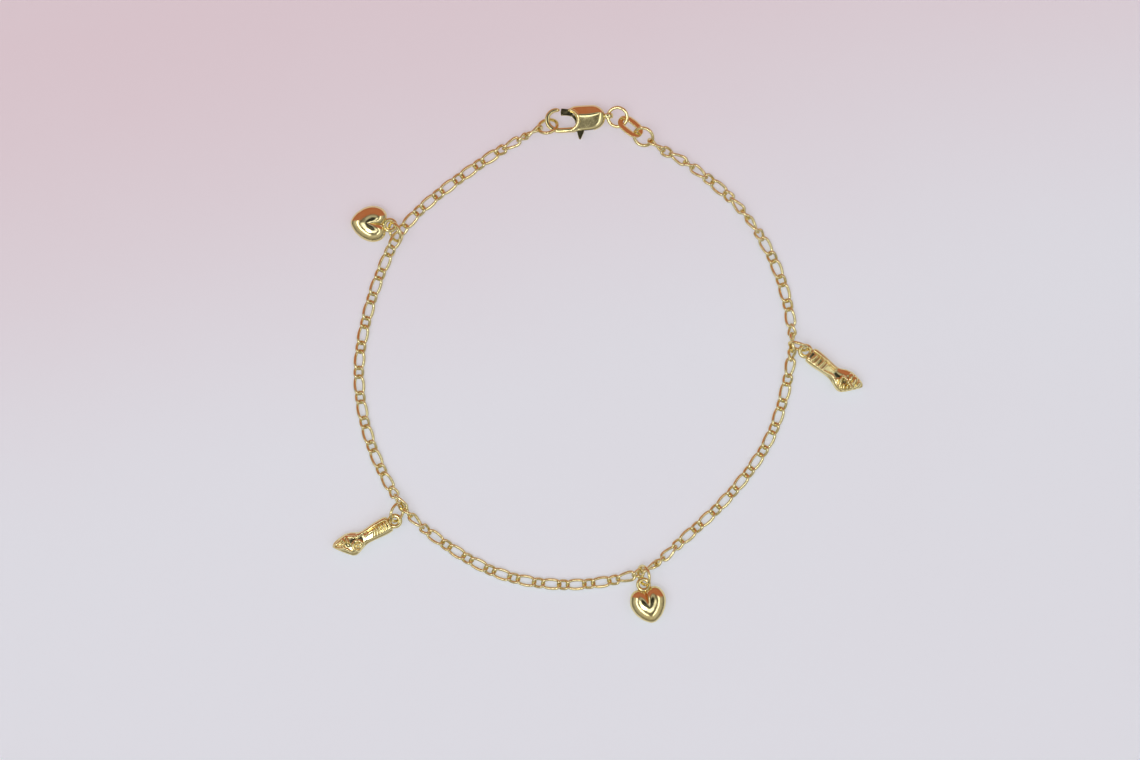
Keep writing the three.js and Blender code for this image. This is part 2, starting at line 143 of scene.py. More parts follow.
class Tree:
    """A node tree being filled."""

    def __init__(self, tree: bpy.types.NodeTree) -> None:
        """Clears the tree and keeps it."""
        self.tree = tree
        tree.nodes.clear()

    def node(
        self, kind: str, settings: dict | None = None, inputs: dict | None = None, output: Union[int, str] = 0
    ) -> Value:
        """Adds one node.

        Args:
            kind: The node's type.
            settings: Its properties, set first.
            inputs: Values or links of its sockets, by index or name.
            output: The output that is wanted.

        Returns:
            That output.
        """
        node = self.tree.nodes.new(kind)
        for name, value in (settings or {}).items():
            setattr(node, name, value)
        for key, value in (inputs or {}).items():
            if isinstance(value, Value):
                self.tree.links.new(value.socket, node.inputs[key])
            else:
                node.inputs[key].default_value = value
        return Value(self, node.outputs[output] if node.outputs else None)

    def mix_colour(self, share: Value, first: Union[Value, Triple], second: Triple) -> Value:
        """A mix of two colours.

        Args:
            share: How much of the second.
            first: The first colour.
            second: The second colour.

        Returns:
            The mixed colour.
        """
        start = first if isinstance(first, Value) else (*first, 1.0)
        # A Mix node's two colours are its inputs 6 and 7, and its colour is output 2.
        settings = {"data_type": "RGBA", "blend_type": "MIX"}
        return self.node("ShaderNodeMix", settings, {0: share, 6: start, 7: (*second, 1.0)}, output=2)

    def noise(self, place: Value, grain: Grain) -> Value:
        """A layer of noise from 0 to 1.

        Args:
            place: Where it is read.
            grain: Its size, detail and stretch.

        Returns:
            The noise's value.
        """
        if grain.stretch:
            turned = {"Vector": place, "Rotation": grain.turn, "Scale": grain.stretch}
            place = self.node("ShaderNodeMapping", {}, turned)
        inputs = {"Vector": place, "Scale": grain.scale, "Detail": grain.detail, "Roughness": grain.roughness}
        return self.node("ShaderNodeTexNoise", {}, inputs)

    def bump(self, strength: float, depth: float, height: Value, under: Value | None = None) -> Value:
        """A bump for the Normal socket.

        Args:
            strength: How strongly it shows.
            depth: How deep it is, in millimetres.
            height: Its height, from 0 to 1.
            under: The bump that it lies on.

        Returns:
            The bent normal.
        """
        inputs = {"Strength": strength, "Distance": depth * MM, "Height": height}
        if under is not None:
            inputs["Normal"] = under
        return self.node("ShaderNodeBump", {}, inputs)

    def parts(self, place: Value, count: int) -> list[Value]:
        """The first few parts of a vector, as numbers."""
        return [self.node("ShaderNodeSeparateXYZ", {}, {0: place}, output=k) for k in range(count)]


@dataclass(frozen=True)
class Finish:
    """What every finish shares."""

    name: str

    def sockets(self, tree: Tree, place: Value) -> dict:
        """What the shader's sockets hold, from the tree and the object's own coordinates."""
        raise NotImplementedError

    def build(self) -> bpy.types.Material:
        """Makes the material.

        Returns:
            The material.
        """
        material = bpy.data.materials.new(self.name)
        material.use_nodes = True
        tree = Tree(material.node_tree)
        place = tree.node("ShaderNodeTexCoord", output="Object")
        shader = tree.node("ShaderNodeBsdfPrincipled", {}, self.sockets(tree, place))
        tree.node("ShaderNodeOutputMaterial", {}, {"Surface": shader})
        return material


@dataclass(frozen=True)
class PolishedGold(Finish):
    """Yellow gold with polishing marks, finger haze and painted shade that darkens its hollows."""

    pale: Triple = (0.87, 0.785, 0.43)
    warm: Triple = (0.85, 0.67, 0.27)
    # The colour that the hollows are darkened towards, as painted shade.
    hollow: Triple = (0.36, 0.2, 0.045)
    rim: Triple = (0.97, 0.92, 0.76)
    warmth: float = 0.35
    speck_warmth: float = 0.1
    hollow_strength: float = 0.7
    roughness: float = 0.1
    haze: float = 0.1
    line_haze: float = 0.06
    hollow_haze: float = 0.22
    marks: float = 0.25
    mark_depth: float = 0.004
    dents: float = 0.2
    dent_depth: float = 0.02
    speck_dents: float = 0.15
    clouds: Grain = Grain(420.0, 3.0, 0.55)
    specks: Grain = Grain(5200.0, 3.0, 0.6)
    fingers: Grain = Grain(1300.0)
    long_lines: Grain = Grain(2600.0, 2.0, 0.6, (1.0, 14.0, 6.0), (0.0, 0.2, 0.6))
    cross_lines: Grain = Grain(2300.0, 2.0, 0.6, (13.0, 1.0, 5.0), (0.3, 0.0, -0.5))
    # Where each layer starts to show and where it shows fully.
    cloud_span: Pair = (0.42, 0.66)
    speck_span: Pair = (0.62, 0.8)
    hollow_span: Pair = (0.25, 0.95)
    finger_span: Pair = (0.45, 0.75)
    long_line_span: Pair = (0.58, 0.72)
    cross_line_span: Pair = (0.6, 0.74)

    def sockets(self, tree: Tree, place: Value) -> dict:
        """Works out the gold's colour, roughness and marks.

        Args:
            tree: The material's tree.
            place: The object's own coordinates.

        Returns:
            What the shader's sockets hold.
        """
        hollow = tree.node("ShaderNodeAttribute", {"attribute_name": HOLLOW}, output="Fac")
        clouds = tree.noise(place, self.clouds)
        specks = tree.noise(place, self.specks)
        fingers = tree.noise(place, self.fingers)
        long_lines = tree.noise(place, self.long_lines)
        cross_lines = tree.noise(place, self.cross_lines)
        warm = clouds.ramp(*self.cloud_span) * self.warmth
        warm = warm + specks.ramp(*self.speck_span) * self.speck_warmth
        # Painted shade: the hollows and the joints between parts are darkened towards the hollow colour, and
        # made a little rougher.
        hollow_shade = hollow.ramp(*self.hollow_span) * self.hollow_strength
        haze = fingers.ramp(*self.finger_span) * self.haze
        lines = long_lines.ramp(*self.long_line_span) + cross_lines.ramp(*self.cross_line_span)
        marks = tree.bump(self.marks, self.mark_depth, long_lines + cross_lines)
        return {
            "Base Color": tree.mix_colour(hollow_shade, tree.mix_colour(warm, self.pale, self.warm), self.hollow),
            "Metallic": 1.0,
            "Roughness": haze + lines * self.line_haze + hollow_shade * self.hollow_haze + self.roughness,
            "Normal": tree.bump(self.dents, self.dent_depth, fingers + specks * self.speck_dents, marks),
            "Specular Tint": (*self.rim, 1.0),
        }


@dataclass(frozen=True)
class PaleFloor(Finish):
    """Matt pale paper, a little pinker towards its far side."""

    name: str = "pale_floor"
    cool: Triple = (0.59, 0.632, 0.705)
    pink: Triple = (0.568, 0.494, 0.555)
    pink_span: Pair = (-0.01, 0.07)  # in metres, away from the middle
    slant: float = 0.25
    patches: float = 0.15
    glow: float = 0.55
    roughness: float = 0.62
    fibre_bump: float = 0.05
    fibre_depth: float = 0.02
    mottle: Grain = Grain(30.0, 3.0)
    fibres: Grain = Grain(1800.0, 4.0, 0.6)

    def sockets(self, tree: Tree, place: Value) -> dict:
        """Works out the floor's colour and its fibres.

        Args:
            tree: The material's tree.
            place: The floor's own coordinates.

        Returns:
            What the shader's sockets hold.
        """
        across, away = tree.parts(place, 2)
        lean = (away - across * self.slant).ramp(*self.pink_span)
        mottle = (tree.noise(place, self.mottle) - 0.5) * self.patches
        colour = tree.mix_colour(lean + mottle, self.cool, self.pink)
        return {
            "Base Color": colour,
            "Roughness": self.roughness,
            "Normal": tree.bump(self.fibre_bump, self.fibre_depth, tree.noise(place, self.fibres)),
            "Emission Color": colour,
            "Emission Strength": self.glow,
        }


# Lines and sections.


def full_turn(count: int) -> np.ndarray:
    """Evenly spaced angles once round, without the last."""
    return np.linspace(0, 2 * math.pi, count, endpoint=False)


def rounded_square(angle: np.ndarray, squareness: Union[float, np.ndarray]) -> tuple[np.ndarray, np.ndarray]:
    """Places round a figure between a circle and a square.

    Args:
        angle: Angles round it.
        squareness: 2 for a circle, more for a squarer figure.

    Returns:
        The places across and up, from -1 to 1.
    """
    power = 2 / squareness
    across, up = np.cos(angle), np.sin(angle)
    return np.sign(across) * np.abs(across) ** power, np.sign(up) * np.abs(up) ** power


def read_table(rows: Sequence[Pair], key: Union[float, np.ndarray]) -> Union[float, np.ndarray]:
    """Straight-line reading of a table whose rows start with an ascending key."""
    return np.interp(key, *zip(*rows))


def smooth_step(value: np.ndarray, low: float, high: float) -> np.ndarray:
    """A smooth step from 0 at low to 1 at high."""
    share = np.clip((value - low) / (high - low), 0.0, 1.0)
    return share * share * (3 - 2 * share)


def distances(line: np.ndarray) -> np.ndarray:
    """How far along a line each of its points lies."""
    return np.concatenate([[0], np.cumsum(np.linalg.norm(np.diff(line, axis=0), axis=1))])


def smooth_line(points: Sequence[Sequence[float]], count: int, closed: bool = False) -> np.ndarray:
    """A smooth line through points, evenly spaced along its length.

    Args:
        points: The points, each with as many numbers as wanted.
        count: How many points come back.
        closed: Whether the line closes up.

    Returns:
        The line's points.
    """
    base = np.asarray(points, float)
    if closed:
        base = np.vstack([base[-1], base, base[0], base[1]])
    else:
        base = np.vstack([2 * base[0] - base[1], base, 2 * base[-1] - base[-2]])
    steps = 40
    t = (np.arange(steps) / steps)[:, None]
    fine = []
    for i in range(1, len(base) - 2):
        p0, p1, p2, p3 = base[i - 1 : i + 3]
        bend = (2 * p0 - 5 * p1 + 4 * p2 - p3) * t**2 + (3 * p1 - p0 - 3 * p2 + p3) * t**3
        fine.append(0.5 * (2 * p1 + (p2 - p0) * t + bend))
    line = np.vstack([*fine, base[-2][None, :]])
    lengths = distances(line)
    wanted = np.linspace(0, lengths[-1], count, endpoint=not closed)
    return np.column_stack([np.interp(wanted, lengths, line[:, k]) for k in range(line.shape[1])])


def swept_rings(
    spots: np.ndarray,
    aside: np.ndarray,
    widths: np.ndarray,
    heights: np.ndarray,
    section: tuple[np.ndarray, np.ndarray],
) -> np.ndarray:
    """Rings of an upright section along a level line.

    Args:
        spots: The line's points.
        aside: The level way across the line at each.
        widths: The section's half width at each.
        heights: Its half height at each.
        section: The section's places across and up, from -1 to 1.

    Returns:
        Rings, columns and xyz.
    """
    across, up = section
    return (
        spots[:, None, :]
        + aside[:, None, :] * widths[:, None, None] * across[None, :, None]
        + UP * heights[:, None, None] * up[None, :, None]
    )


# Mesh helpers.


class Mesher:
    """Makes and changes objects, from points in the tables' millimetres."""

    @staticmethod
    def item(name: str, points: np.ndarray, faces: Sequence[Sequence[int]]) -> bpy.types.Object:
        """An object of points and faces, linked to the scene.

        Args:
            name: The object's name.
            points: One row for each vertex.
            faces: The vertices of each face.

        Returns:
            The object, in metres.
        """
        mesh = bpy.data.meshes.new(name)
        mesh.from_pydata((np.asarray(points, float) * MM).tolist(), [], [list(face) for face in faces])
        mesh.validate()
        item = bpy.data.objects.new(name, mesh)
        bpy.context.scene.collection.objects.link(item)
        return item

    @classmethod
    def solid(cls, name: str, points: np.ndarray, faces: Sequence[Sequence[int]]) -> bpy.types.Object:
        """A closed body whose faces look outwards.

        Args:
            name: The object's name.
            points: One row for each vertex.
            faces: The vertices of each face.

        Returns:
            The object, in metres.
        """
        item = cls.item(name, points, faces)
        work = bmesh.new()
        work.from_mesh(item.data)
        bmesh.ops.recalc_face_normals(work, faces=work.faces)
        work.to_mesh(item.data)
        work.free()
        return item

    @staticmethod
    def grid_faces(rows: int, columns: int, closed_rows: bool = False) -> list[list[int]]:
        """The quads of a grid whose columns close up.

        Args:
            rows: How many rings of points.
            columns: How many points in each ring.
            closed_rows: Whether the last ring joins the first.

        Returns:
            The quads.
        """
        faces = []
        for row in range(rows if closed_rows else rows - 1):
            here, after = row * columns, (row + 1) % rows * columns
            for column in range(columns):
                beside = (column + 1) % columns
                faces.append([here + column, here + beside, after + beside, after + column])
        return faces

    @classmethod
    def loft(cls, name: str, rings: np.ndarray) -> bpy.types.Object:
        """A closed body through rings of points, with a fan at each end.

        Args:
            name: The object's name.
            rings: Rings, columns and xyz.

        Returns:
            The object.
        """
        rows, columns, _ = rings.shape
        points = np.vstack([rings.reshape(-1, 3), rings[0].mean(0), rings[-1].mean(0)])
        faces = cls.grid_faces(rows, columns)
        first_middle, last_middle = rows * columns, rows * columns + 1
        last_ring = (rows - 1) * columns
        for column in range(columns):
            beside = (column + 1) % columns
            faces.append([first_middle, beside, column])
            faces.append([last_middle, last_ring + column, last_ring + beside])
        return cls.solid(name, points, faces)

    @classmethod
    def closed_tube(
        cls,
        centres: np.ndarray,
        outward: np.ndarray,
        radii: np.ndarray,
        section: tuple[np.ndarray, np.ndarray],
    ) -> tuple[np.ndarray, list[list[int]]]:
        """A tube along a closed line.

        Args:
            centres: The line's points.
            outward: The way that the section's first axis leans at each.
            radii: The wire's radius at each.
            section: Places round the wire across and up, over its radius.

        Returns:
            The points and the quads.
        """
        ahead = np.roll(centres, -1, 0) - np.roll(centres, 1, 0)
        ahead /= np.linalg.norm(ahead, axis=1, keepdims=True)
        second = np.cross(ahead, outward)
        second /= np.linalg.norm(second, axis=1, keepdims=True)
        first = np.cross(second, ahead)
        across, up = section
        ring = first[:, None, :] * across[None, :, None] + second[:, None, :] * up[None, :, None]
        points = centres[:, None, :] + ring * radii[:, None, None]
        return points.reshape(-1, 3), cls.grid_faces(len(centres), len(across), closed_rows=True)

    @classmethod
    def prism(cls, name: str, outline: Sequence[Pair], thickness: float) -> bpy.types.Object:
        """A plate of an outline about the level plane through the origin.

        Args:
            name: The object's name.
            outline: Its corners in order.
            thickness: Its thickness.

        Returns:
            The plate.
        """
        count = len(outline)
        ring = np.asarray(outline, float)
        heights = (-thickness / 2, thickness / 2)
        points = np.vstack([np.column_stack([ring, np.full(count, height)]) for height in heights])
        faces = [list(range(count))[::-1], list(range(count, 2 * count))]
        faces += [[k, (k + 1) % count, count + (k + 1) % count, count + k] for k in range(count)]
        return cls.solid(name, points, faces)

    @staticmethod
    def place(item: bpy.types.Object, matrix: Matrix) -> None:
        """Moves an object's own points.

        Args:
            item: The object, in metres.
            matrix: The move, with its shift in the tables' millimetres.
        """
        scaled = matrix.copy()
        scaled.translation = (matrix.translation - MIDDLE) * MM
        item.data.transform(scaled)

    @staticmethod
    def apply(item: bpy.types.Object, kind: str, settings: dict) -> None:
        """Gives an object the mesh that a modifier makes of it.

        Args:
            item: The object.
            kind: The modifier's type.
            settings: Its properties.
        """
        modifier = item.modifiers.new("change", kind)
        for name, value in settings.items():
            setattr(modifier, name, value)
        view = bpy.context.evaluated_depsgraph_get()
        result = bpy.data.meshes.new_from_object(item.evaluated_get(view))
        item.modifiers.clear()
        old = item.data
        item.data = result
        bpy.data.meshes.remove(old)

    @classmethod
    def combine(cls, target: bpy.types.Object, other: bpy.types.Object, operation: str) -> None:
        """Joins two closed objects or cuts one from the other, and removes the second.

        Args:
            target: The object that is changed.
            other: The object that changes it.
            operation: UNION or DIFFERENCE.
        """
        cls.apply(target, "BOOLEAN", {"operation": operation, "solver": "MANIFOLD", "object": other})
        bpy.data.objects.remove(other)

    @staticmethod
    def fetch(rows: bpy.types.bpy_prop_collection, name: str, width: int, kind: type = float) -> np.ndarray:
        """One property of every element of a mesh.

        Args:
            rows: The elements.
            name: The property.
            width: How many numbers it has.
            kind: What the numbers are.

        Returns:
            A row for each element.
        """
        values = np.empty(len(rows) * width, kind)
        rows.foreach_get(name, values)
        return values.reshape(-1, width)

    @classmethod
    def mark_hollows(cls, mesh: bpy.types.Mesh, reach: float, passes: int = 3) -> None:
        """Writes how hollow the surface is at each vertex, from 0 to 1.

        Args:
            mesh: The mesh.
            reach: The bend, as a share of the edge length, that counts as fully hollow.
            passes: How often the result is spread to the neighbours.
        """
        count = len(mesh.vertices)
        points = cls.fetch(mesh.vertices, "co", 3)
        normals = cls.fetch(mesh.vertices, "normal", 3)
        ends = cls.fetch(mesh.edges, "vertices", 2, np.int64)
        total, lengths, number = np.zeros((count, 3)), np.zeros(count), np.zeros(count)
        step = points[ends[:, 1]] - points[ends[:, 0]]
        size = np.linalg.norm(step, axis=1)
        for here, sign in ((0, 1.0), (1, -1.0)):
            np.add.at(total, ends[:, here], step * sign)
            np.add.at(lengths, ends[:, here], size)
            np.add.at(number, ends[:, here], 1.0)
        lean = (total * normals).sum(1) / np.maximum(lengths, 1e-12)
        value = np.clip(lean / reach, 0.0, 1.0)
        for _ in range(passes):
            spread = np.zeros(count)
            np.add.at(spread, ends[:, 0], value[ends[:, 1]])
            np.add.at(spread, ends[:, 1], value[ends[:, 0]])
            value = 0.5 * value + 0.5 * spread / np.maximum(number, 1.0)
        attribute = mesh.attributes.new(HOLLOW, "FLOAT", "POINT")
        attribute.data.foreach_set("value", value.astype(np.float32))


# The pieces.


@dataclass
class Piece:
    """What every piece of the bracelet shares."""

    name: str = "piece"
    body: Body = Body.BRACELET
    slot: Slot = Slot.CHARM
    crisp_angle: float = 35.0
    hollow_reach: float = 0.5  # the bend that counts as fully hollow
    flats: bool = False  # whether it has flat faces between rounded edges

    def finish(self, item: bpy.types.Object, gold: bpy.types.Material, node: str) -> None:
        """Shades, paints and seats one object.

        Args:
            item: The object, in place.
            gold: Its finish.
            node: The CAD node that it stands for.
        """
        item.data.shade_smooth()
        item.data.set_sharp_from_angle(angle=math.radians(self.crisp_angle))
        if self.flats:
            Mesher.apply(item, "WEIGHTED_NORMAL", {"weight": 100, "keep_sharp": True})
        # Marks the hollows, where the gold's painted shade darkens the surface.
        Mesher.mark_hollows(item.data, self.hollow_reach)
        item.data.materials.clear()
        item.data.materials.append(gold)
        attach(item, self.body.value)
        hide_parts(node)
        LOG.info("%s: %d faces, stands for %s", item.name, len(item.data.polygons), node)

    def build(self, gold: bpy.types.Material) -> None:
        """Builds the piece in its finish."""
        raise NotImplementedError


@dataclass
class FigaroChain(Piece):
    """The chain: long oval links and short round ones in turn, in two fused runs."""

    slot: Slot = Slot.CHAIN
    hollow_reach: float = 0.1
    links: int = 101
    last_left: int = 50
    reach_radius: float = 0.187  # the wire radius that the joints' heights allow for
    wire_radius: float = 0.22
    wear: float = 0.03  # how much thinner the wire is at a joint
    meeting_wear: float = 0.18  # the same for the two links where the runs meet
    wear_power: int = 6
    oval: Pair = (1.345, 0.63)
    short: Pair = (0.795, 0.57)
    fuller: float = 0.02  # how much wider a link looks than its solid
    twist: float = -0.25
    lap: float = 0.305
    run_gap: float = 0.07
    squareness: float = 2.35
    segments: int = 36
    sides: int = 12
    route_steps: int = 180
    reach_steps: int = 48
    route: Sequence[Pair] = (
        (-8.5, 34.5), (-16.2, 30.0), (-23.9, 24.4), (-28.0, 20.5), (-30.5, 16.4), (-33.5, 8.2),
        (-35.0, -1.5), (-33.3, -11.4), (-28.6, -20.6), (-23.5, -25.4), (-14.2, -30.6), (-3.6, -32.1),
        (6.7, -30.0), (12.2, -25.6), (19.3, -18.8), (24.9, -10.8), (27.7, -1.2), (28.1, 5.2),
        (25.6, 14.9), (20.1, 23.3), (12.4, 29.6), (9.4, 31.2), (7.4, 32.6),
    )
    rolls: Sequence[Pair] = (
        # link, degrees that it is rolled
        (0, -90), (1, -75), (2, -50), (3, -30), (4, -12), (5, 0),
        (33, 0), (34, 12), (35, 28), (36, 50), (37, 90), (38, 120), (39, 140), (40, 162), (41, 180),
        (54, 180), (55, 190), (56, 205), (57, 220), (58, 255), (59, 285), (60, 315), (61, 342), (62, 360),
        (76, 360), (77, 366), (78, 382), (79, 410), (80, 448), (81, 488), (82, 522), (83, 540),
        (87, 540), (88, 550), (89, 570), (90, 598), (91, 630), (92, 664), (93, 694), (94, 714),
        (95, 730), (96, 756), (97, 800), (98, 850), (99, 910), (100, 985),
    )
    lifts: Sequence[Pair] = (
        # joint, its height where it doesn't lie on the surface
        (0, 1.15), (1, 0.9), (13, 0.6), (14, 0.95), (15, 0.95), (16, 0.6),
        (36, 0.8), (37, 0.95), (38, 0.95), (57, 1.1), (58, 1.1), (100, 0.85), (101, 1.1),
    )

    def size(self, index: int) -> Pair:
        """A link's half length and half width."""
        return self.oval if index % 2 == 0 else self.short

    def roll(self, index: int) -> float:
        """How far a link is rolled, in radians."""
        return math.radians(read_table(self.rolls, index))

    def route_line(self) -> np.ndarray:
        """The chain's way round the loop, as fine points.

        Returns:
            Points along the route's centripetal curve.
        """
        points = np.asarray(self.route, float)
        points = np.vstack([2 * points[0] - points[1], points, 2 * points[-1] - points[-2]])
        t = (np.arange(self.route_steps) / self.route_steps)[:, None]
        fine = []
        for i in range(1, len(points) - 2):
            p0, p1, p2, p3 = points[i - 1 : i + 3]
            g0, g1, g2 = (math.sqrt(float(np.linalg.norm(b - a))) for a, b in ((p0, p1), (p1, p2), (p2, p3)))
            start = ((p1 - p0) / g0 - (p2 - p0) / (g0 + g1) + (p2 - p1) / g1) * g1
            end = ((p2 - p1) / g1 - (p3 - p1) / (g1 + g2) + (p3 - p2) / g2) * g1
            bend = (3 * (p2 - p1) - 2 * start - end) * t**2 + (2 * (p1 - p2) + start + end) * t**3
            fine.append(p1 + start * t + bend)
        return np.vstack([*fine, points[-2][None, :]])

    def reach(self, index: int) -> float:
        """How far a rolled link reaches below its own axis.

        Args:
            index: The link.

        Returns:
            The reach.
        """
        angle = full_turn(self.reach_steps)
        roll = self.roll(index)
        height = self.size(index)[1] * np.sin(angle) * math.sin(roll)
        height = height + self.twist * np.sin(2 * angle) * math.cos(roll)
        return float(np.abs(height).max()) + self.reach_radius

    def joints(self) -> list[Vector]:
        """The points where neighbouring links meet.

        Returns:
            One more point than there are links.
        """
        places = [0.0]
        for index in range(self.links):
            places.append(places[-1] + 2 * self.size(index)[0] - self.lap)
        line = self.route_line()
        lengths = distances(line)
        wanted = np.asarray(places) / places[-1] * lengths[-1]
        x, y = (np.interp(wanted, lengths, line[:, k]) for k in range(2))
        lifted = dict(self.lifts)
        joints = []
        for joint in range(self.links + 1):
            beside = (max(joint - 1, 0), min(joint, self.links - 1))
            lying = max(self.reach(index) for index in beside)
            joints.append(Vector((x[joint], y[joint], lifted.get(joint, lying))))
        return joints

    def link_matrix(self, joints: Sequence[Vector], index: int) -> Matrix:
        """The place and turn of one link.

        Args:
            joints: The points where links meet.
            index: The link.

        Returns:
            Its matrix.
        """
        along = (joints[index + 1] - joints[index]).normalized()
        centre = (joints[index] + joints[index + 1]) / 2
        if index == self.last_left:
            centre += along * self.run_gap / 2
        if index == self.last_left + 1:
            centre -= along * self.run_gap / 2
        across = Vector(UP).cross(along).normalized()
        turn = Matrix((along, across, along.cross(across))).transposed().to_4x4()
        return Matrix.Translation(centre) @ turn @ Matrix.Rotation(self.roll(index), 4, "X")

    def link_points(self, index: int) -> tuple[np.ndarray, list[list[int]]]:
        """One link's wire about its own middle.

        Args:
            index: The link.

        Returns:
            Its points and quads.
        """
        half_length, half_width = self.size(index)
        angle = full_turn(self.segments)
        across, up = rounded_square(angle, self.squareness)
        centres = np.column_stack(
            [half_length * across, (half_width + self.fuller) * up, self.twist * np.sin(2 * angle)]
        )
        outward = np.column_stack(
            [half_width * np.cos(angle), half_length * np.sin(angle), np.zeros_like(angle)]
        )
        meeting = index in (self.last_left, self.last_left + 1)
        wear = self.meeting_wear if meeting else self.wear
        radii = self.wire_radius * (1 - wear * np.abs(np.cos(angle)) ** self.wear_power)
        return Mesher.closed_tube(centres, outward, radii, rounded_square(full_turn(self.sides), 2))

    def every_other(self, name: str, joints: Sequence[Vector], indices: Sequence[int]) -> bpy.types.Object:
        """Links that don't touch each other, as one object.

        Args:
            name: The object's name.
            joints: The points where links meet.
            indices: The links.

        Returns:
            The object.
        """
        points, faces = [], []
        for index in indices:
            matrix = np.asarray(self.link_matrix(joints, index))
            own, quads = self.link_points(index)
            start = len(points) * len(own)
            points.append(own @ matrix[:3, :3].T + matrix[:3, 3])
            faces.extend([[start + k for k in quad] for quad in quads])
        return Mesher.solid(name, np.vstack(points) - np.asarray(MIDDLE), faces)

    def build(self, gold: bpy.types.Material) -> None:
        """Builds both runs.

        Args:
            gold: The chain's finish.
        """
        joints = self.joints()
        runs = {
            "figaro_chain_left": range(0, self.last_left + 1),
            "figaro_chain_right": range(self.last_left + 1, self.links),
        }
        for node, indices in runs.items():
            run = self.every_other(f"{node}_links", joints, indices[::2])
            Mesher.combine(run, self.every_other(f"{node}_others", joints, indices[1::2]), "UNION")
            self.finish(run, gold, node)


@dataclass
class WireRing(Piece):
    """A jump ring that leans down towards its low side, with its closed cut."""

    slot: Slot = Slot.RING
    centre: Triple = (0.0, 0.0, 0.0)
    low: float = 0.0
    tilt: float = 0.0
    radius: float = 1.4
    wire_radius: float = 0.245
    segments: int = 120
    sides: int = 20
    cut_at: float = 200.0
    cut_width: float = 0.035
    cut_depth: float = 0.14

    def build(self, gold: bpy.types.Material) -> None:
        """Builds the ring.

        Args:
            gold: Its finish.
        """
        angle = full_turn(self.segments)
        outward = np.column_stack([np.cos(angle), np.sin(angle), np.zeros_like(angle)])
        away = (angle - math.radians(self.cut_at) + math.pi) % (2 * math.pi) - math.pi
        cut = np.exp(-((away * self.radius / self.cut_width) ** 2))
        radii = self.wire_radius * (1 - self.cut_depth * cut)
        section = rounded_square(full_turn(self.sides), 2)
        tube = Mesher.closed_tube(outward * self.radius, outward, radii, section)
        ring = Mesher.solid(f"{self.name}_wire", *tube)
        low = math.radians(self.low)
        lean = Matrix.Rotation(math.radians(self.tilt), 4, Vector((-math.sin(low), math.cos(low), 0)))
        Mesher.place(ring, Matrix.Translation(self.centre) @ lean)
        self.finish(ring, gold, self.name)


@dataclass
class CharmRing(WireRing):
    """The slightly finer ring of a charm."""

    radius: float = 1.38
    wire_radius: float = 0.225


@dataclass
class ConnectorTab(Piece):
    """The flat stamped oval with one slot that joins the chain's end to the clasp."""

    name: str = "connector_tab"
    slot: Slot = Slot.CLASP
    flats: bool = True
    centre: Triple = (4.6, 34.62, 1.13)
    heading: float = -38.8
    pitch: float = -2.8
    roll: float = -34.0
    length: float = 4.1
    width: float = 2.9
    band: float = 0.98
    thickness: float = 0.3
    edge: float = 0.09
    edge_corner: float = 0.35  # where the rounded edge's middle lies, as a share of the edge
    slot_growth: float = 0.25  # how much longer the slot's straight sides are, as a share of the band
    bulge: float = 0.03
    end_points: int = 22
    side_points: int = 14

    def stadium(self, inset: float) -> np.ndarray:
        """The tab's outline, drawn in by an inset.

        Args:
            inset: How far it is drawn in.

        Returns:
            The outline's points.
        """
        radius = self.width / 2 - inset
        straight = self.length / 2 - self.width / 2 + self.slot_growth * inset
        turn = np.linspace(-math.pi / 2, math.pi / 2, self.end_points)
        right = np.column_stack([straight + radius * np.cos(turn), radius * np.sin(turn)])
        along = np.linspace(1, -1, self.side_points)[1:-1]
        top = np.column_stack([straight * along, radius + self.bulge * (1 - along**2)])
        return np.vstack([right, top, -right, -top])

    def section(self) -> np.ndarray:
        """The band's section.

        Returns:
            Insets and heights, once round.
        """
        corner = self.edge_corner * self.edge
        inner = self.band - self.edge
        lower = np.array(
            [
                (0.0, self.edge), (corner, corner), (self.edge, 0.0), (self.band / 2, 0.0),
                (inner, 0.0), (self.band - corner, corner), (self.band, self.edge),
            ]
        )
        lower[:, 1] -= self.thickness / 2
        return np.vstack([lower, lower[::-1] * (1, -1)])

    def build(self, gold: bpy.types.Material) -> None:
        """Builds the tab.

        Args:
            gold: Its finish.
        """
        outlines = []
        for inset, height in self.section():
            line = self.stadium(inset)
            outlines.append(np.column_stack([line, np.full(len(line), height)]))
        rings = np.stack(outlines, axis=1)
        faces = Mesher.grid_faces(*rings.shape[:2], closed_rows=True)
        plate = Mesher.solid("connector_tab_plate", rings.reshape(-1, 3), faces)
        turn = Matrix.Identity(4)
        for degrees, axis in ((self.heading, "Z"), (self.pitch, "Y"), (self.roll, "X")):
            turn = turn @ Matrix.Rotation(math.radians(degrees), 4, axis)
        Mesher.place(plate, Matrix.Translation(self.centre) @ turn)
        self.finish(plate, gold, self.name)


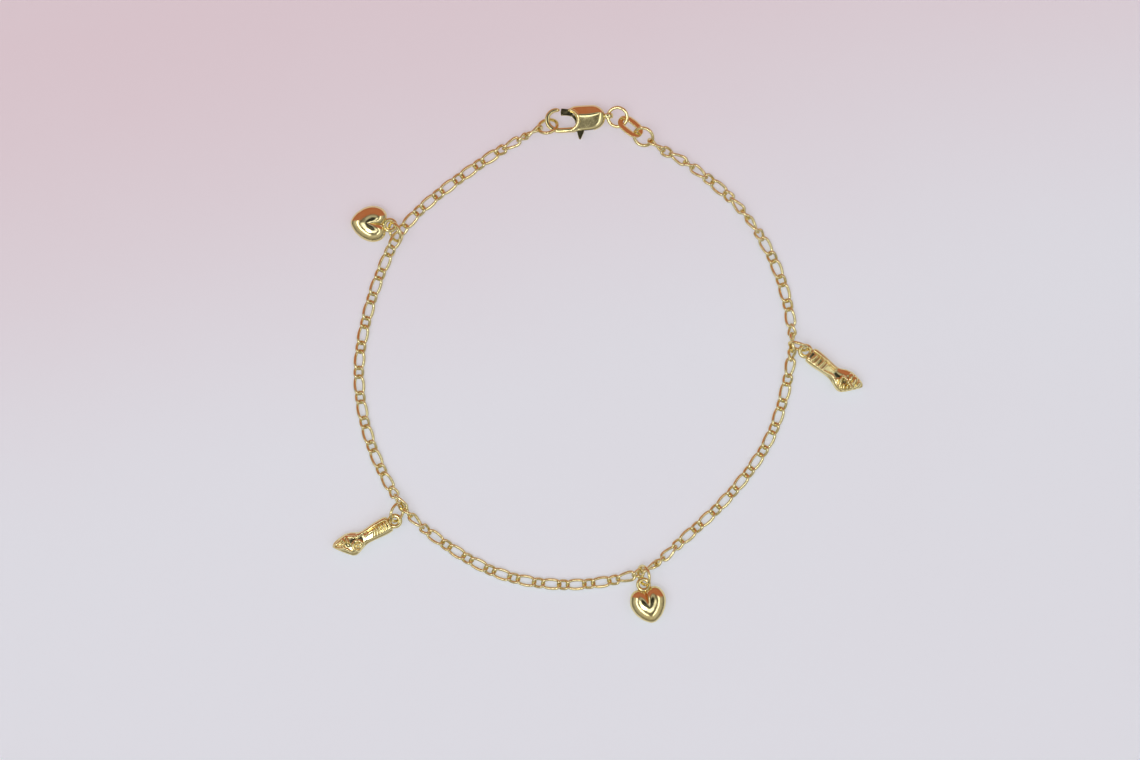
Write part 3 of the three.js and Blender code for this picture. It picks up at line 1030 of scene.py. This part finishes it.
@dataclass
class LobsterClasp(Piece):
    """The clasp: its domed body with hook, mouth rim, tail eye and pin, and its lever."""

    slot: Slot = Slot.CLASP
    x: float = -3.21
    y: float = 35.84
    turn: float = 4.3
    thickness: float = 2.2
    outline: Sequence[Pair] = (
        (-1.05, -1.96), (0.1, -1.99), (1.15, -2.0), (2.0, -1.97), (2.75, -1.82), (3.4, -1.5),
        (3.88, -0.98), (4.1, -0.3), (4.08, 0.35), (3.8, 0.95), (3.3, 1.42), (2.7, 1.69),
        (1.9, 1.77), (0.9, 1.79), (0.1, 1.79), (-0.45, 1.72), (-0.9, 1.5), (-1.25, 1.15), (-1.4, 0.6),
        (-1.3, -1.4),
    )
    outline_points: int = 120
    # The body's rings shrink towards its middle, a little closer together over the outer part.
    middle: Pair = (1.4, -0.1)
    outer_part: float = 0.14
    outer_rings: int = 8
    inner_rings: int = 39
    # The crest runs along the body in a slight bow, and two faces slope down from it.
    crest_x: float = 1.5
    crest_y: float = 0.33
    crest_bend: float = 0.05
    crest_round: float = 0.18
    upper_slope: float = 0.34
    lower_slope: float = 0.295
    tail_from: float = 2.2
    tail_drop: float = 0.045
    rim_part: float = 0.32
    rim_power: float = 2.6
    rim_share: float = 0.3
    # The mouth, its lip and the angles between which the lip runs.
    bite: Triple = (-1.27, -0.2, 1.3)
    lip_turn: Pair = (86.0, -96.0)
    lip_reach: float = 0.2
    lip_radius: float = 0.29
    lip_end_radius: float = 0.087
    lip_taper: float = 0.35
    lip_sink: float = 0.08
    lip_level: float = 0.4
    lip_points: int = 60
    lip_sides: int = 18
    hook_points: int = 110
    hook_sides: int = 28
    hook_squareness: float = 3.0
    tip_points: float = 6.0
    tip_least: float = 0.02
    hook_line: Sequence[tuple[float, float, float, float]] = (
        # x, y, half width, half height
        (1.0, -1.58, 0.34, 0.44), (0.0, -1.6, 0.38, 0.54), (-1.1, -1.61, 0.39, 0.56),
        (-2.2, -1.6, 0.38, 0.48), (-3.05, -1.51, 0.37, 0.42), (-3.7, -1.18, 0.36, 0.4),
        (-4.15, -0.66, 0.36, 0.39), (-4.31, 0.0, 0.36, 0.39), (-4.19, 0.62, 0.35, 0.38),
        (-3.83, 1.07, 0.34, 0.37), (-3.35, 1.34, 0.33, 0.36), (-2.85, 1.41, 0.3, 0.35),
        (-2.38, 1.36, 0.27, 0.33),
    )
    eye_x: float = 4.5
    eye_outer: float = 0.8
    eye_inner: float = 0.53
    eye_width: float = 0.7
    eye_squareness: float = 2.8
    eye_segments: int = 80
    eye_sides: int = 24
    slot_thickness: float = 0.86
    slot_outline: Sequence[Pair] = (
        (-2.05, 1.445), (0.165, 1.445), (0.515, 1.065), (0.86, 0.62), (2.3, -1.05), (2.42, -3.03),
        (-0.22, -3.03), (-0.4, -0.6), (-2.05, -0.6),
    )
    pivot: Pair = (-0.235, 0.765)
    pin_radius: float = 0.25
    pin_roots: float = 0.2
    hole_radius: float = 0.34
    bar_sides: int = 72
    lever_thickness: float = 0.66
    lever_edge: float = 0.07
    lever_edge_steps: int = 3
    lever_edge_angle: float = 40.0
    gate: Sequence[Pair] = (
        (-2.15, 1.56), (-2.25, 1.2), (-2.285, 1.05), (-2.29, 0.55), (-1.75, 0.53), (-1.2, 0.45),
        (-0.72, 0.3), (-0.42, -0.1), (-0.3, -0.4), (-0.2, -1.2), (-0.1, -2.03), (0.0, -2.7),
        (0.1, -3.02), (0.25, -3.15), (0.4, -3.02), (0.62, -2.6), (0.92, -2.03), (0.75, -1.1),
        (0.5, 0.1), (0.31, 0.567), (0.33, 0.9), (0.19, 1.16), (-0.05, 1.31), (-0.345, 1.335),
        (-1.3, 1.42), (-1.8, 1.52),
    )

    def matrix(self) -> Matrix:
        """The clasp's place and turn."""
        spot = Matrix.Translation((self.x, self.y, self.thickness / 2))
        return spot @ Matrix.Rotation(math.radians(self.turn), 4, "Z")

    def body_height(self, x: np.ndarray, y: np.ndarray, rim: float) -> np.ndarray:
        """The upper side of the body: two faces that meet on a crest, rounded over at the rim.

        Args:
            x: Places along the clasp.
            y: Places across it.
            rim: 0 at the body's edge, 1 where the rounding ends.

        Returns:
            The height above the middle plane.
        """
        crest = self.crest_y + self.crest_bend * (x - self.crest_x) ** 2
        away = np.sqrt((y - crest) ** 2 + self.crest_round**2) - self.crest_round
        roof = self.thickness / 2 - np.where(y > crest, self.upper_slope, self.lower_slope) * away
        roof = roof - self.tail_drop * np.clip(x - self.tail_from, 0, None) ** 2
        rounding = math.sqrt(1 - (1 - rim) ** self.rim_power)
        return roof * (self.rim_share + (1 - self.rim_share) * rounding)

    def block(self) -> bpy.types.Object:
        """The domed body before its mouth is cut.

        Returns:
            The body.
        """
        line = smooth_line(self.outline, self.outline_points, closed=True)
        middle = np.array(self.middle)
        outer = np.linspace(0, self.outer_part, self.outer_rings, endpoint=False)
        inner = np.linspace(self.outer_part, 1, self.inner_rings, endpoint=False)
        rings = []
        for level in (*outer, *inner):
            spot = middle + (line - middle) * (1 - level)
            height = self.body_height(spot[:, 0], spot[:, 1], min(level / self.rim_part, 1.0))
            rings.append(np.column_stack([spot, height]))
        top = np.stack(rings[::-1])
        bottom = np.stack(rings) * np.array([1, 1, -1])
        return Mesher.loft("clasp_block", np.concatenate([top, bottom]))

    def bar(self, name: str, radius: float, height: float, centre: Pair) -> bpy.types.Object:
        """An upright round bar about the clasp's middle plane.

        Args:
            name: The object's name.
            radius: Its radius.
            height: Its whole height.
            centre: Where it stands, along the clasp and across it.

        Returns:
            The bar.
        """
        x, y = centre
        angle = full_turn(self.bar_sides)
        ring = [x + radius * np.cos(angle), y + radius * np.sin(angle)]
        ends = [np.column_stack([*ring, np.full_like(angle, side * height / 2)]) for side in (-1, 1)]
        return Mesher.loft(name, np.stack(ends))

    def swept_hook(self) -> bpy.types.Object:
        """The hook, swept from the body's lower side round to its rounded tip.

        Returns:
            The hook.
        """
        line = smooth_line(self.hook_line, self.hook_points)
        level = np.zeros(len(line))
        spots = np.column_stack([line[:, :2], level])
        ahead = np.gradient(spots, axis=0)
        ahead /= np.linalg.norm(ahead, axis=1, keepdims=True)
        aside = np.column_stack([-ahead[:, 1], ahead[:, 0], level])
        tip = np.clip(np.linspace(len(line), 0, len(line)) / self.tip_points, 0, 1)
        close = np.sqrt(np.clip(1 - (1 - tip) ** 2, self.tip_least, 1))
        section = rounded_square(full_turn(self.hook_sides), self.hook_squareness)
        rings = swept_rings(spots, aside, line[:, 2] * close, line[:, 3] * close, section)
        return Mesher.loft("clasp_hook", rings)

    def mouth_lip(self, side: float) -> bpy.types.Object:
        """The rounded lip round the mouth, on one face of the body.

        Args:
            side: 1 for the upper face, -1 for the lower.

        Returns:
            The lip.
        """
        x, y, radius = self.bite
        turn = np.radians(np.linspace(*self.lip_turn, self.lip_points))
        outward = np.column_stack([np.cos(turn), np.sin(turn), np.zeros_like(turn)])
        spots = np.array([x, y, 0.0]) + outward * (radius + self.lip_reach)
        spots[:, 2] = side * (self.body_height(spots[:, 0], spots[:, 1], self.lip_level) - self.lip_sink)
        fullness = np.sin(np.linspace(0, math.pi, self.lip_points)) ** self.lip_taper
        size = self.lip_end_radius + (self.lip_radius - self.lip_end_radius) * fullness
        section = rounded_square(full_turn(self.lip_sides), 2)
        return Mesher.loft("clasp_lip", swept_rings(spots, outward, size, size, section))

    def tail_eye(self) -> bpy.types.Object:
        """The eye behind the body: a ring whose hole runs across the clasp.

        Returns:
            The eye.
        """
        angle = full_turn(self.eye_segments)
        outward = np.column_stack([np.cos(angle), np.zeros_like(angle), np.sin(angle)])
        centres = outward * (self.eye_outer + self.eye_inner) / 2
        deep, wide = rounded_square(full_turn(self.eye_sides), self.eye_squareness)
        section = (deep * (self.eye_outer - self.eye_inner) / 2, wide * self.eye_width / 2)
        points, faces = Mesher.closed_tube(centres, outward, np.ones_like(angle), section)
        return Mesher.solid("clasp_eye", points + np.array([self.eye_x, 0, 0]), faces)

    def build_body(self, gold: bpy.types.Material) -> None:
        """Builds the clasp's fixed part.

        Args:
            gold: Its finish.
        """
        x, y, radius = self.bite
        through = 4 * self.thickness
        casting = self.block()
        casting.name = "clasp_casting"
        Mesher.combine(casting, self.bar("clasp_bite", radius, through, (x, y)), "DIFFERENCE")
        for part in (self.mouth_lip(1.0), self.mouth_lip(-1.0), self.swept_hook(), self.tail_eye()):
            Mesher.combine(casting, part, "UNION")
        mouth = Mesher.prism("clasp_slot", self.slot_outline, self.slot_thickness)
        Mesher.combine(casting, mouth, "DIFFERENCE")
        pin = self.bar("clasp_pin", self.pin_radius, self.slot_thickness + self.pin_roots, self.pivot)
        Mesher.combine(casting, pin, "UNION")
        Mesher.place(casting, self.matrix())
        self.finish(casting, gold, "clasp_body")

    def build_lever(self, gold: bpy.types.Material) -> None:
        """Builds the gate and thumb trigger.

        Args:
            gold: Their finish.
        """
        lever = Mesher.prism("clasp_gate", self.gate, self.lever_thickness)
        hole = self.bar("hub_hole", self.hole_radius, self.thickness, self.pivot)
        Mesher.combine(lever, hole, "DIFFERENCE")
        rounding = {
            "width": self.lever_edge * MM,
            "segments": self.lever_edge_steps,
            "limit_method": "ANGLE",
            "angle_limit": math.radians(self.lever_edge_angle),
            "use_clamp_overlap": True,
        }
        Mesher.apply(lever, "BEVEL", rounding)
        Mesher.place(lever, self.matrix())
        Piece(body=Body.LEVER, slot=self.slot, flats=True).finish(lever, gold, "clasp_lever")

    def build(self, gold: bpy.types.Material) -> None:
        """Builds the clasp's fixed part and its lever."""
        self.build_body(gold)
        self.build_lever(gold)


@dataclass
class Charm(Piece):
    """A charm lying on the surface, whose own x runs away from its soldered bail."""

    look: str = "charm"
    x: float = 0.0
    y: float = 0.0
    direction: float = 0.0
    half_height: float = 1.0
    bail_x: float = 0.0
    bail_radius: float = 0.79
    bail_wire: float = 0.32
    bail_flatness: float = 0.92
    bail_segments: int = 84
    bail_sides: int = 22

    def surface(self) -> np.ndarray:
        """The charm's skin, as rings, columns and xyz."""
        raise NotImplementedError

    def lean(self) -> Matrix:
        """How the charm leans about its own middle."""
        raise NotImplementedError

    def bail(self) -> bpy.types.Object:
        """The soldered bail, in the plane of the charm.

        Returns:
            The bail.
        """
        angle = full_turn(self.bail_segments)
        outward = np.column_stack([np.cos(angle), np.sin(angle), np.zeros_like(angle)])
        across, up = rounded_square(full_turn(self.bail_sides), 2)
        radii = np.full(self.bail_segments, self.bail_wire)
        section = (across, up * self.bail_flatness)
        points, faces = Mesher.closed_tube(outward * self.bail_radius, outward, radii, section)
        return Mesher.solid("bail", points + np.array([self.bail_x, 0, 0]), faces)

    def build(self, gold: bpy.types.Material) -> None:
        """Builds the charm with its bail.

        Args:
            gold: Its finish.
        """
        skin = Mesher.loft(f"{self.name}_{self.look}", self.surface())
        Mesher.combine(skin, self.bail(), "UNION")
        turn = Matrix.Rotation(math.radians(self.direction), 4, "Z") @ self.lean()
        Mesher.place(skin, Matrix.Translation((self.x, self.y, self.half_height)) @ turn)
        self.finish(skin, gold, self.name)


@dataclass
class PuffedHeart(Charm):
    """A hollow puffed heart, with its notch at the bail and a crease that runs in from it."""

    look: str = "puffed"
    half_height: float = 1.2
    bail_x: float = -2.92
    bail_wire: float = 0.3
    nod: float = 4.0
    half_width: float = 2.65
    outline: Sequence[Pair] = (
        # degrees from the tip, radius over the half width
        (0, 1.05), (8, 1.035), (25, 0.965), (50, 0.905), (75, 0.93), (105, 1.03), (130, 1.09), (145, 1.07),
        (156, 0.99), (166, 0.86), (173, 0.78), (180, 0.75),
    )
    outline_passes: int = 3
    columns: int = 216
    rows: int = 74
    pole: float = 0.02
    spread_power: float = 0.92
    dome_power: float = 0.88
    lobe_rise: float = 0.14
    crease_span: Pair = (-0.7, 1.7)
    crease_depth: float = 0.3
    crease_width: float = 0.11
    valley_depth: float = 0.11
    valley_width: float = 0.7

    def lean(self) -> Matrix:
        """The heart's slight nod towards its tip."""
        return Matrix.Rotation(-math.radians(self.nod), 4, "Y")

    def surface(self) -> np.ndarray:
        """The heart's skin as rings from its upper middle to its lower one.

        Returns:
            Rings, columns and xyz.
        """
        turn = np.linspace(-math.pi, math.pi, self.columns, endpoint=False)
        radius = read_table(self.outline, np.abs(np.degrees(turn)))
        for _ in range(self.outline_passes):
            radius = 0.25 * np.roll(radius, 1) + 0.5 * radius + 0.25 * np.roll(radius, -1)
        radius = radius * self.half_width
        fall = np.linspace(self.pole, math.pi - self.pole, self.rows)[:, None]
        spread = np.sin(fall) ** self.spread_power
        x = radius * spread * np.cos(turn)
        y = radius * spread * np.sin(turn)
        dome = np.sign(np.cos(fall)) * np.abs(np.cos(fall)) ** self.dome_power
        crease = self.crease_depth * np.exp(-np.abs(y) / self.crease_width)
        valley = self.valley_depth * np.exp(-((y / self.valley_width) ** 2))
        cut = (crease + valley) * smooth_step(-x, *self.crease_span)
        z = dome * (1 - cut) * (1 - self.lobe_rise * x / self.half_width)
        return np.stack([x, y, z * self.half_height / np.abs(z).max()], axis=2)


@dataclass(frozen=True)
class Stroke:
    """A raised ridge on a hand: a rounded line of points with its radius and height."""

    points: Sequence[Pair]
    radius: float
    height: float
    closed: bool = False
    roundness: float = 0.6
    point_steps: int = 14

    def rise(self, x: np.ndarray, y: np.ndarray) -> np.ndarray:
        """The ridge's height over a surface.

        Args:
            x: Places along the hand.
            y: Places across it.

        Returns:
            The height at each place.
        """
        near = np.full(x.shape, np.inf)
        for along, across in smooth_line(self.points, self.point_steps * len(self.points), self.closed):
            near = np.minimum(near, (x - along) ** 2 + (y - across) ** 2)
        inside = np.clip(1 - near / self.radius**2, 0, 1)
        return self.height * inside**self.roundness


@dataclass
class FigaHand(Charm):
    """A figa hand, from its cuff at the bail to its fist, with work on both sides."""

    look: str = "stamped"
    hollow_reach: float = 0.14
    half_height: float = 1.13
    bail_x: float = -0.75
    turned_over: bool = False
    length: float = 8.98
    cuff_length: float = 0.3
    cuff_rows: int = 13
    rows: int = 217
    columns: int = 120
    table_passes: int = 6
    # Tables of x and the upper edge, the lower edge and the half depth there.
    upper: Sequence[Pair] = (
        (0.0, 1.02), (0.12, 1.2), (0.6, 1.33), (1.9, 1.28), (3.2, 1.13), (4.1, 1.06), (4.65, 1.1),
        (5.2, 1.36), (5.7, 1.62), (6.5, 1.8), (7.3, 1.74), (7.9, 1.64), (8.5, 1.5), (8.85, 1.27),
        (8.98, 1.05),
    )
    lower: Sequence[Pair] = (
        (0.0, -0.98), (0.12, -1.14), (0.6, -1.22), (1.5, -1.22), (2.6, -1.12), (3.6, -1.05), (4.3, -1.08),
        (4.8, -1.2), (5.4, -1.42), (6.0, -1.66), (6.5, -1.74), (7.0, -1.55), (7.6, -0.95), (8.2, -0.22),
        (8.7, 0.4), (8.98, 0.85),
    )
    depth: Sequence[Pair] = (
        (0.0, 0.8), (0.12, 0.88), (0.5, 0.88), (2.4, 0.8), (3.6, 0.7), (4.5, 0.62), (5.2, 0.66),
        (6.2, 0.74), (7.2, 0.72), (8.2, 0.58), (8.8, 0.42), (8.98, 0.25),
    )
    # The front is rounder at the wrist, and the back squarer along the sleeve.
    front_squareness: float = 3.2
    wrist_rounding: float = 1.1
    wrist_start: Pair = (4.2, 5.0)
    wrist_end: Pair = (5.7, 6.5)
    back_squareness: float = 2.5
    sleeve_squareness: float = 0.8
    sleeve_end: Pair = (3.6, 4.6)
    edge_power: float = 0.8  # how the raised work fades towards the hand's edge
    ridge_power: float = 5.0  # how sharply two ridges join
    groove_line: Sequence[Pair] = ((0.3, 0.66), (2.0, 0.64), (4.3, 0.55))
    groove_points: int = 90
    groove_width: float = 0.085
    groove_depth: float = 0.08
    front: Sequence[Stroke] = (
        # The cuff's gathers.
        Stroke(((0.9, 0.45), (0.8, 0.0), (0.7, -0.5)), 0.24, 0.16),
        Stroke(((1.5, 0.4), (1.45, -0.15), (1.4, -0.65)), 0.24, 0.16),
        Stroke(((2.25, 0.4), (2.2, -0.2), (2.1, -0.7)), 0.24, 0.16),
        Stroke(((2.85, 0.35), (2.8, -0.35), (2.65, -0.8)), 0.22, 0.13),
        # The raised borders beside the wrist's hollow.
        Stroke(((0.2, 1.05), (2.5, 1.0), (4.15, 0.85)), 0.34, 0.16),
        Stroke(((2.8, 0.5), (4.3, 0.4)), 0.15, 0.14),
        Stroke(((0.2, -0.9), (2.7, -0.8), (3.75, -0.62), (4.45, -0.5), (5.05, -0.75)), 0.29, 0.18),
        Stroke(((5.05, -0.75), (5.65, -1.2), (6.3, -1.45)), 0.26, 0.22),
        Stroke(((5.4, -0.4), (5.6, -0.9)), 0.2, 0.16),
        # The thumb, pushed out between the fingers.
        Stroke(
            ((6.05, -0.55), (5.75, 0.0), (5.85, 0.45), (6.45, 0.42), (7.15, 0.12), (7.85, -0.1)),
            0.23, 0.32,
        ),
        # The four fingers below it.
        Stroke(((6.15, -0.75), (6.2, -1.1), (6.45, -1.45)), 0.23, 0.3),
        Stroke(((6.65, -0.45), (6.8, -0.8), (7.0, -1.1)), 0.22, 0.3),
        Stroke(((7.15, -0.4), (7.42, -0.72)), 0.22, 0.3),
        Stroke(((7.65, -0.3), (7.8, -0.4)), 0.19, 0.26),
        # Their knuckles and backs.
        Stroke(((6.65, 1.4), (6.9, 0.78)), 0.34, 0.26),
        Stroke(((7.45, 1.35), (7.65, 0.5)), 0.34, 0.26),
        Stroke(((8.25, 1.15), (8.35, 0.55)), 0.31, 0.22),
    )
    back: Sequence[Stroke] = (
        # The collar and the cuff's gathers.
        Stroke(((0.3, 0.75), (0.15, 0.2), (0.15, -0.7)), 0.16, 0.12),
        Stroke(((0.7, 0.5), (0.75, -0.05), (0.8, -0.6)), 0.2, 0.17),
        Stroke(((1.15, 0.5), (1.2, -0.05), (1.35, -0.65)), 0.2, 0.17),
        Stroke(((1.6, 0.45), (1.7, -0.05), (1.9, -0.65)), 0.2, 0.17),
        Stroke(((2.05, 0.4), (2.12, -0.1), (2.35, -0.6)), 0.2, 0.16),
        Stroke(((2.45, 0.35), (2.58, -0.15), (2.85, -0.55)), 0.19, 0.15),
        # The sleeve's smooth strip and the fold beside it.
        Stroke(((0.5, 1.12), (2.4, 1.02), (4.0, 0.86), (4.8, 0.84)), 0.36, 0.22),
        Stroke(((2.8, 0.3), (4.05, 0.15)), 0.17, 0.1),
        # The ring on the heel of the hand and the curl in it.
        Stroke(
            (
                (5.6, 0.13), (5.08, -0.08), (4.87, -0.6), (5.08, -1.12),
                (5.6, -1.33), (6.12, -1.12), (6.33, -0.6), (6.12, -0.08),
            ),
            0.21, 0.24, True,
        ),
        Stroke(((5.42, -0.35), (5.85, -0.45), (5.7, -0.85)), 0.2, 0.2),
        # The facets of the folded fingers.
        Stroke(((5.0, 0.6), (6.4, 1.35)), 0.22, 0.14),
        Stroke(((6.5, 1.5), (6.6, 0.9), (6.65, 0.5)), 0.2, 0.22),
        Stroke(((6.5, 1.5), (7.5, 1.3), (8.6, 0.98)), 0.22, 0.2),
        Stroke(((8.7, 0.65), (7.85, 0.1), (7.3, -0.3), (6.9, -0.9)), 0.2, 0.2),
        Stroke(((7.1, 1.2), (7.15, 0.7), (7.6, 0.5), (7.4, -0.1)), 0.18, 0.22),
        Stroke(((8.3, 0.75), (7.7, 0.35)), 0.16, 0.16),
    )

    def lean(self) -> Matrix:
        """Half a turn about its length where the hand shows its back."""
        return Matrix.Rotation(math.pi if self.turned_over else 0.0, 4, "X")

    def relief(self, strokes: Sequence[Stroke], x: np.ndarray, y: np.ndarray) -> np.ndarray:
        """The raised work and the groove of one side.

        Args:
            strokes: Its ridges.
            x: Places along the hand.
            y: Places across it.

        Returns:
            The height added at each place.
        """
        total = sum(stroke.rise(x, y) ** self.ridge_power for stroke in strokes)
        groove = np.zeros(x.shape)
        for along, across in smooth_line(self.groove_line, self.groove_points):
            near = (x - along) ** 2 + (y - across) ** 2
            groove = np.maximum(groove, np.exp(-near / self.groove_width**2))
        return total ** (1 / self.ridge_power) - self.groove_depth * groove

    def surface(self) -> np.ndarray:
        """The hand's skin as rings from its cuff to the tip of its fist.

        Returns:
            Rings, columns and xyz.
        """
        cuff = np.linspace(0.0, self.cuff_length, self.cuff_rows, endpoint=False)
        x = np.concatenate([cuff, np.linspace(self.cuff_length, self.length, self.rows)])
        high, low, deep = (read_table(table, x) for table in (self.upper, self.lower, self.depth))
        for _ in range(self.table_passes):
            for line in (high, low, deep):
                line[1:-1] = 0.25 * line[:-2] + 0.5 * line[1:-1] + 0.25 * line[2:]
        angle = full_turn(self.columns)
        wrist = smooth_step(x, *self.wrist_start) * (1 - smooth_step(x, *self.wrist_end))
        sleeve = 1 - smooth_step(x, *self.sleeve_end)
        front_square = self.front_squareness - self.wrist_rounding * wrist
        back_square = self.back_squareness + self.sleeve_squareness * sleeve
        square = np.where(np.sin(angle) >= 0, front_square[:, None], back_square[:, None])
        beside, above = rounded_square(angle, square)
        across = ((high + low) / 2)[:, None] + ((high - low) / 2)[:, None] * beside
        along = np.broadcast_to(x[:, None], across.shape)
        front = self.relief(self.front, along, across)
        back = self.relief(self.back, along, across)
        work = np.where(above >= 0, front, -back) * np.abs(above) ** self.edge_power
        z = np.clip(deep[:, None] * above + work, -self.half_height, self.half_height)
        return np.stack([along, across, z], axis=2)


@dataclass
class Studio:
    """The floor, the camera straight above the bracelet, the soft light and the room."""

    aim: Pair = (-4.2, -2.25)
    frame_width: float = 166.4
    lens: float = 85.0
    clip: Pair = (0.01, 10.0)  # in metres
    floor_size: float = 2400.0
    lights: Sequence[tuple[str, Triple, float, float, Triple]] = (
        # name, place and size in millimetres, strength, colour
        ("softbox", (-180.0, -260.0, 900.0), 200.0, 0.6, (1.0, 1.0, 0.98)),
    )
    # The room is painted on a unit ball. A pair is where a part fades in, by height or northwards.
    rose: Triple = (0.46, 0.155, 0.095)
    rose_share: float = 0.94
    rose_north: Pair = (0.2, 0.36)
    rose_top: Pair = (0.84, 0.91)
    cloth: Grain = Grain(4.5, 1.5)
    cloth_folds: Pair = (0.4, 0.58)
    wall_tint: Triple = (1.0, 0.93, 0.85)
    wall_light: float = 0.5
    wall_folds: float = 0.1
    wall_top: tuple[Pair, float] = ((0.72, 0.87), 0.36)
    wall_feet: Sequence[tuple[Pair, float]] = (((0.42, 0.72), 0.22), ((0.14, 0.34), 0.2))
    ceiling: Pair = (0.91, 0.93)
    ceiling_light: float = 0.85
    ceiling_folds: float = 0.9
    ceiling_dim: float = 0.85
    ceiling_dim_north: Pair = (-0.05, 0.15)
    overhead: Pair = (0.966, 0.98)
    overhead_dim: float = 0.94
    low_foot: Pair = (0.76, 0.785)
    low_top: Pair = (0.83, 0.855)
    low_boxes: Sequence[tuple[float, float, Pair, float]] = (
        # part to the east and to the north, where the box begins, strength
        (-0.9, -0.42, (0.3, 0.4), 2.4),
        (0.96, -0.26, (0.36, 0.44), 1.8),
    )

    def add_floor(self) -> None:
        """Adds the floor."""
        half = self.floor_size / 2
        corners = np.array([(-half, -half, 0), (half, -half, 0), (half, half, 0), (-half, half, 0)])
        floor = Mesher.item("floor", corners, [[0, 1, 2, 3]])
        floor.data.materials.append(PaleFloor().build())

    def add_camera(self) -> None:
        """Adds the camera."""
        data = bpy.data.cameras.new("camera")
        data.lens = self.lens
        distance = self.lens / data.sensor_width * self.frame_width
        camera = bpy.data.objects.new("camera", data)
        spot = Vector((*self.aim, 0.0)) - MIDDLE
        camera.location = (spot.x * MM, spot.y * MM, distance * MM)
        data.clip_start, data.clip_end = self.clip
        bpy.context.scene.collection.objects.link(camera)
        bpy.context.scene.camera = camera

    def add_lights(self) -> None:
        """Adds the soft lights, each turned to the bracelet."""
        for name, place, size, strength, colour in self.lights:
            data = bpy.data.lights.new(name, "AREA")
            data.shape = "DISK"
            data.size = size * MM
            data.energy = strength
            data.color = colour
            light = bpy.data.objects.new(name, data)
            light.location = Vector(place) * MM
            light.rotation_euler = (-Vector(place)).to_track_quat("-Z", "Y").to_euler()
            bpy.context.scene.collection.objects.link(light)

    def add_world(self) -> None:
        """Adds the room: a lit ceiling and two low boxes over dimmer walls, one of them rose."""
        world = bpy.data.worlds.new("room")
        world.use_nodes = True
        bpy.context.scene.world = world
        tree = Tree(world.node_tree)
        way = tree.node("ShaderNodeTexCoord", output="Generated")
        east, north, up = tree.parts(way, 3)
        cloth = tree.noise(way, self.cloth).ramp(*self.cloth_folds)
        dimmed = 1.0 - north.ramp(*self.ceiling_dim_north) * self.ceiling_dim
        lit = up.ramp(*self.ceiling) * dimmed * (cloth * self.ceiling_folds + self.ceiling_light)
        low = up.ramp(*self.low_foot) * (1.0 - up.ramp(*self.low_top))
        for east_part, north_part, begin, strength in self.low_boxes:
            lit = lit + low * (east * east_part + north * north_part).ramp(*begin) * strength
        span, dim = self.wall_top
        walls = cloth * self.wall_folds + self.wall_light - up.ramp(*span) * dim
        for span, dim in self.wall_feet:
            walls = walls - (1.0 - up.ramp(*span)) * dim
        shade = 1.0 - up.ramp(*self.overhead) * self.overhead_dim
        tones = {k: (walls * tint + lit) * shade for k, tint in enumerate(self.wall_tint)}
        soft = tree.node("ShaderNodeCombineColor", {}, tones)
        rose_wall = north.ramp(*self.rose_north) * (1.0 - up.ramp(*self.rose_top))
        colour = tree.mix_colour(rose_wall * self.rose_share, soft, self.rose)
        room = tree.node("ShaderNodeBackground", {}, {"Color": colour, "Strength": 1.0})
        tree.node("ShaderNodeOutputWorld", {}, {"Surface": room})
        bpy.context.scene.view_settings.view_transform = "Standard"

    def build(self) -> None:
        """Builds the studio."""
        self.add_floor()
        self.add_camera()
        self.add_lights()
        self.add_world()
        LOG.info("studio: floor, camera, room and %d light", len(self.lights))


@dataclass
class Bracelet:
    """Every piece on the floor, and the finish of each of the record's slots."""

    golds: Sequence[PolishedGold] = (
        PolishedGold(
            Slot.CHAIN.value,
            pale=(0.87, 0.8, 0.47),
            # The chain's dark hollow colour is painted shade in the joints between its links.
            hollow=(0.2, 0.1, 0.03),
            # Its dark rim tint darkens the wire's edges as painted shade.
            rim=(0.6, 0.46, 0.24),
            hollow_strength=0.95,
        ),
        PolishedGold(Slot.CLASP.value, warmth=0.45, roughness=0.09, marks=0.3),
        PolishedGold(Slot.CHARM.value, roughness=0.08),
        PolishedGold(Slot.RING.value, rim=(0.72, 0.58, 0.34), warmth=0.5),
    )
    pieces: Sequence[Piece] = (
        FigaroChain(),
        LobsterClasp(),
        ConnectorTab(),
        WireRing(name="clasp_ring", centre=(-7.45, 34.67, 1.21), low=106, tilt=43),
        WireRing(name="tail_ring", centre=(2.72, 36.02, 1.13), low=-117, tilt=15, cut_at=60),
        WireRing(name="end_ring", centre=(6.48, 33.16, 1.11), low=240, tilt=33.3, cut_at=20),
        CharmRing(name="heart_left_ring", centre=(-29.67, 19.3, 1.41), low=-158, tilt=57),
        CharmRing(name="hand_left_ring", centre=(-29.35, -21.48, 1.3), low=-19, tilt=56),
        CharmRing(name="heart_bottom_ring", centre=(6.54, -30.67, 1.33), low=190, tilt=57.4),
        CharmRing(name="hand_right_ring", centre=(29.0, 2.65, 1.71), low=-109, tilt=73.4),
        PuffedHeart(name="heart_left", x=-33.33, y=20.51, direction=175.7),
        PuffedHeart(name="heart_bottom", x=7.25, y=-34.85, direction=-75.1),
        FigaHand(name="hand_left", x=-30.37, y=-23.13, direction=208.5, turned_over=True),
        FigaHand(name="hand_right", x=30.65, y=1.49, direction=-37.9),
    )

    def build(self) -> None:
        """Builds every piece with its finish."""
        finishes = {gold.name: gold.build() for gold in self.golds}
        for piece in self.pieces:
            piece.build(finishes[piece.slot.value])


def main() -> None:
    """Loads the frame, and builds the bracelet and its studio."""
    logging.basicConfig(level=logging.INFO, format="%(name)s: %(message)s")
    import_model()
    Studio().build()
    Bracelet().build()


if __name__ == "__main__":
    main()
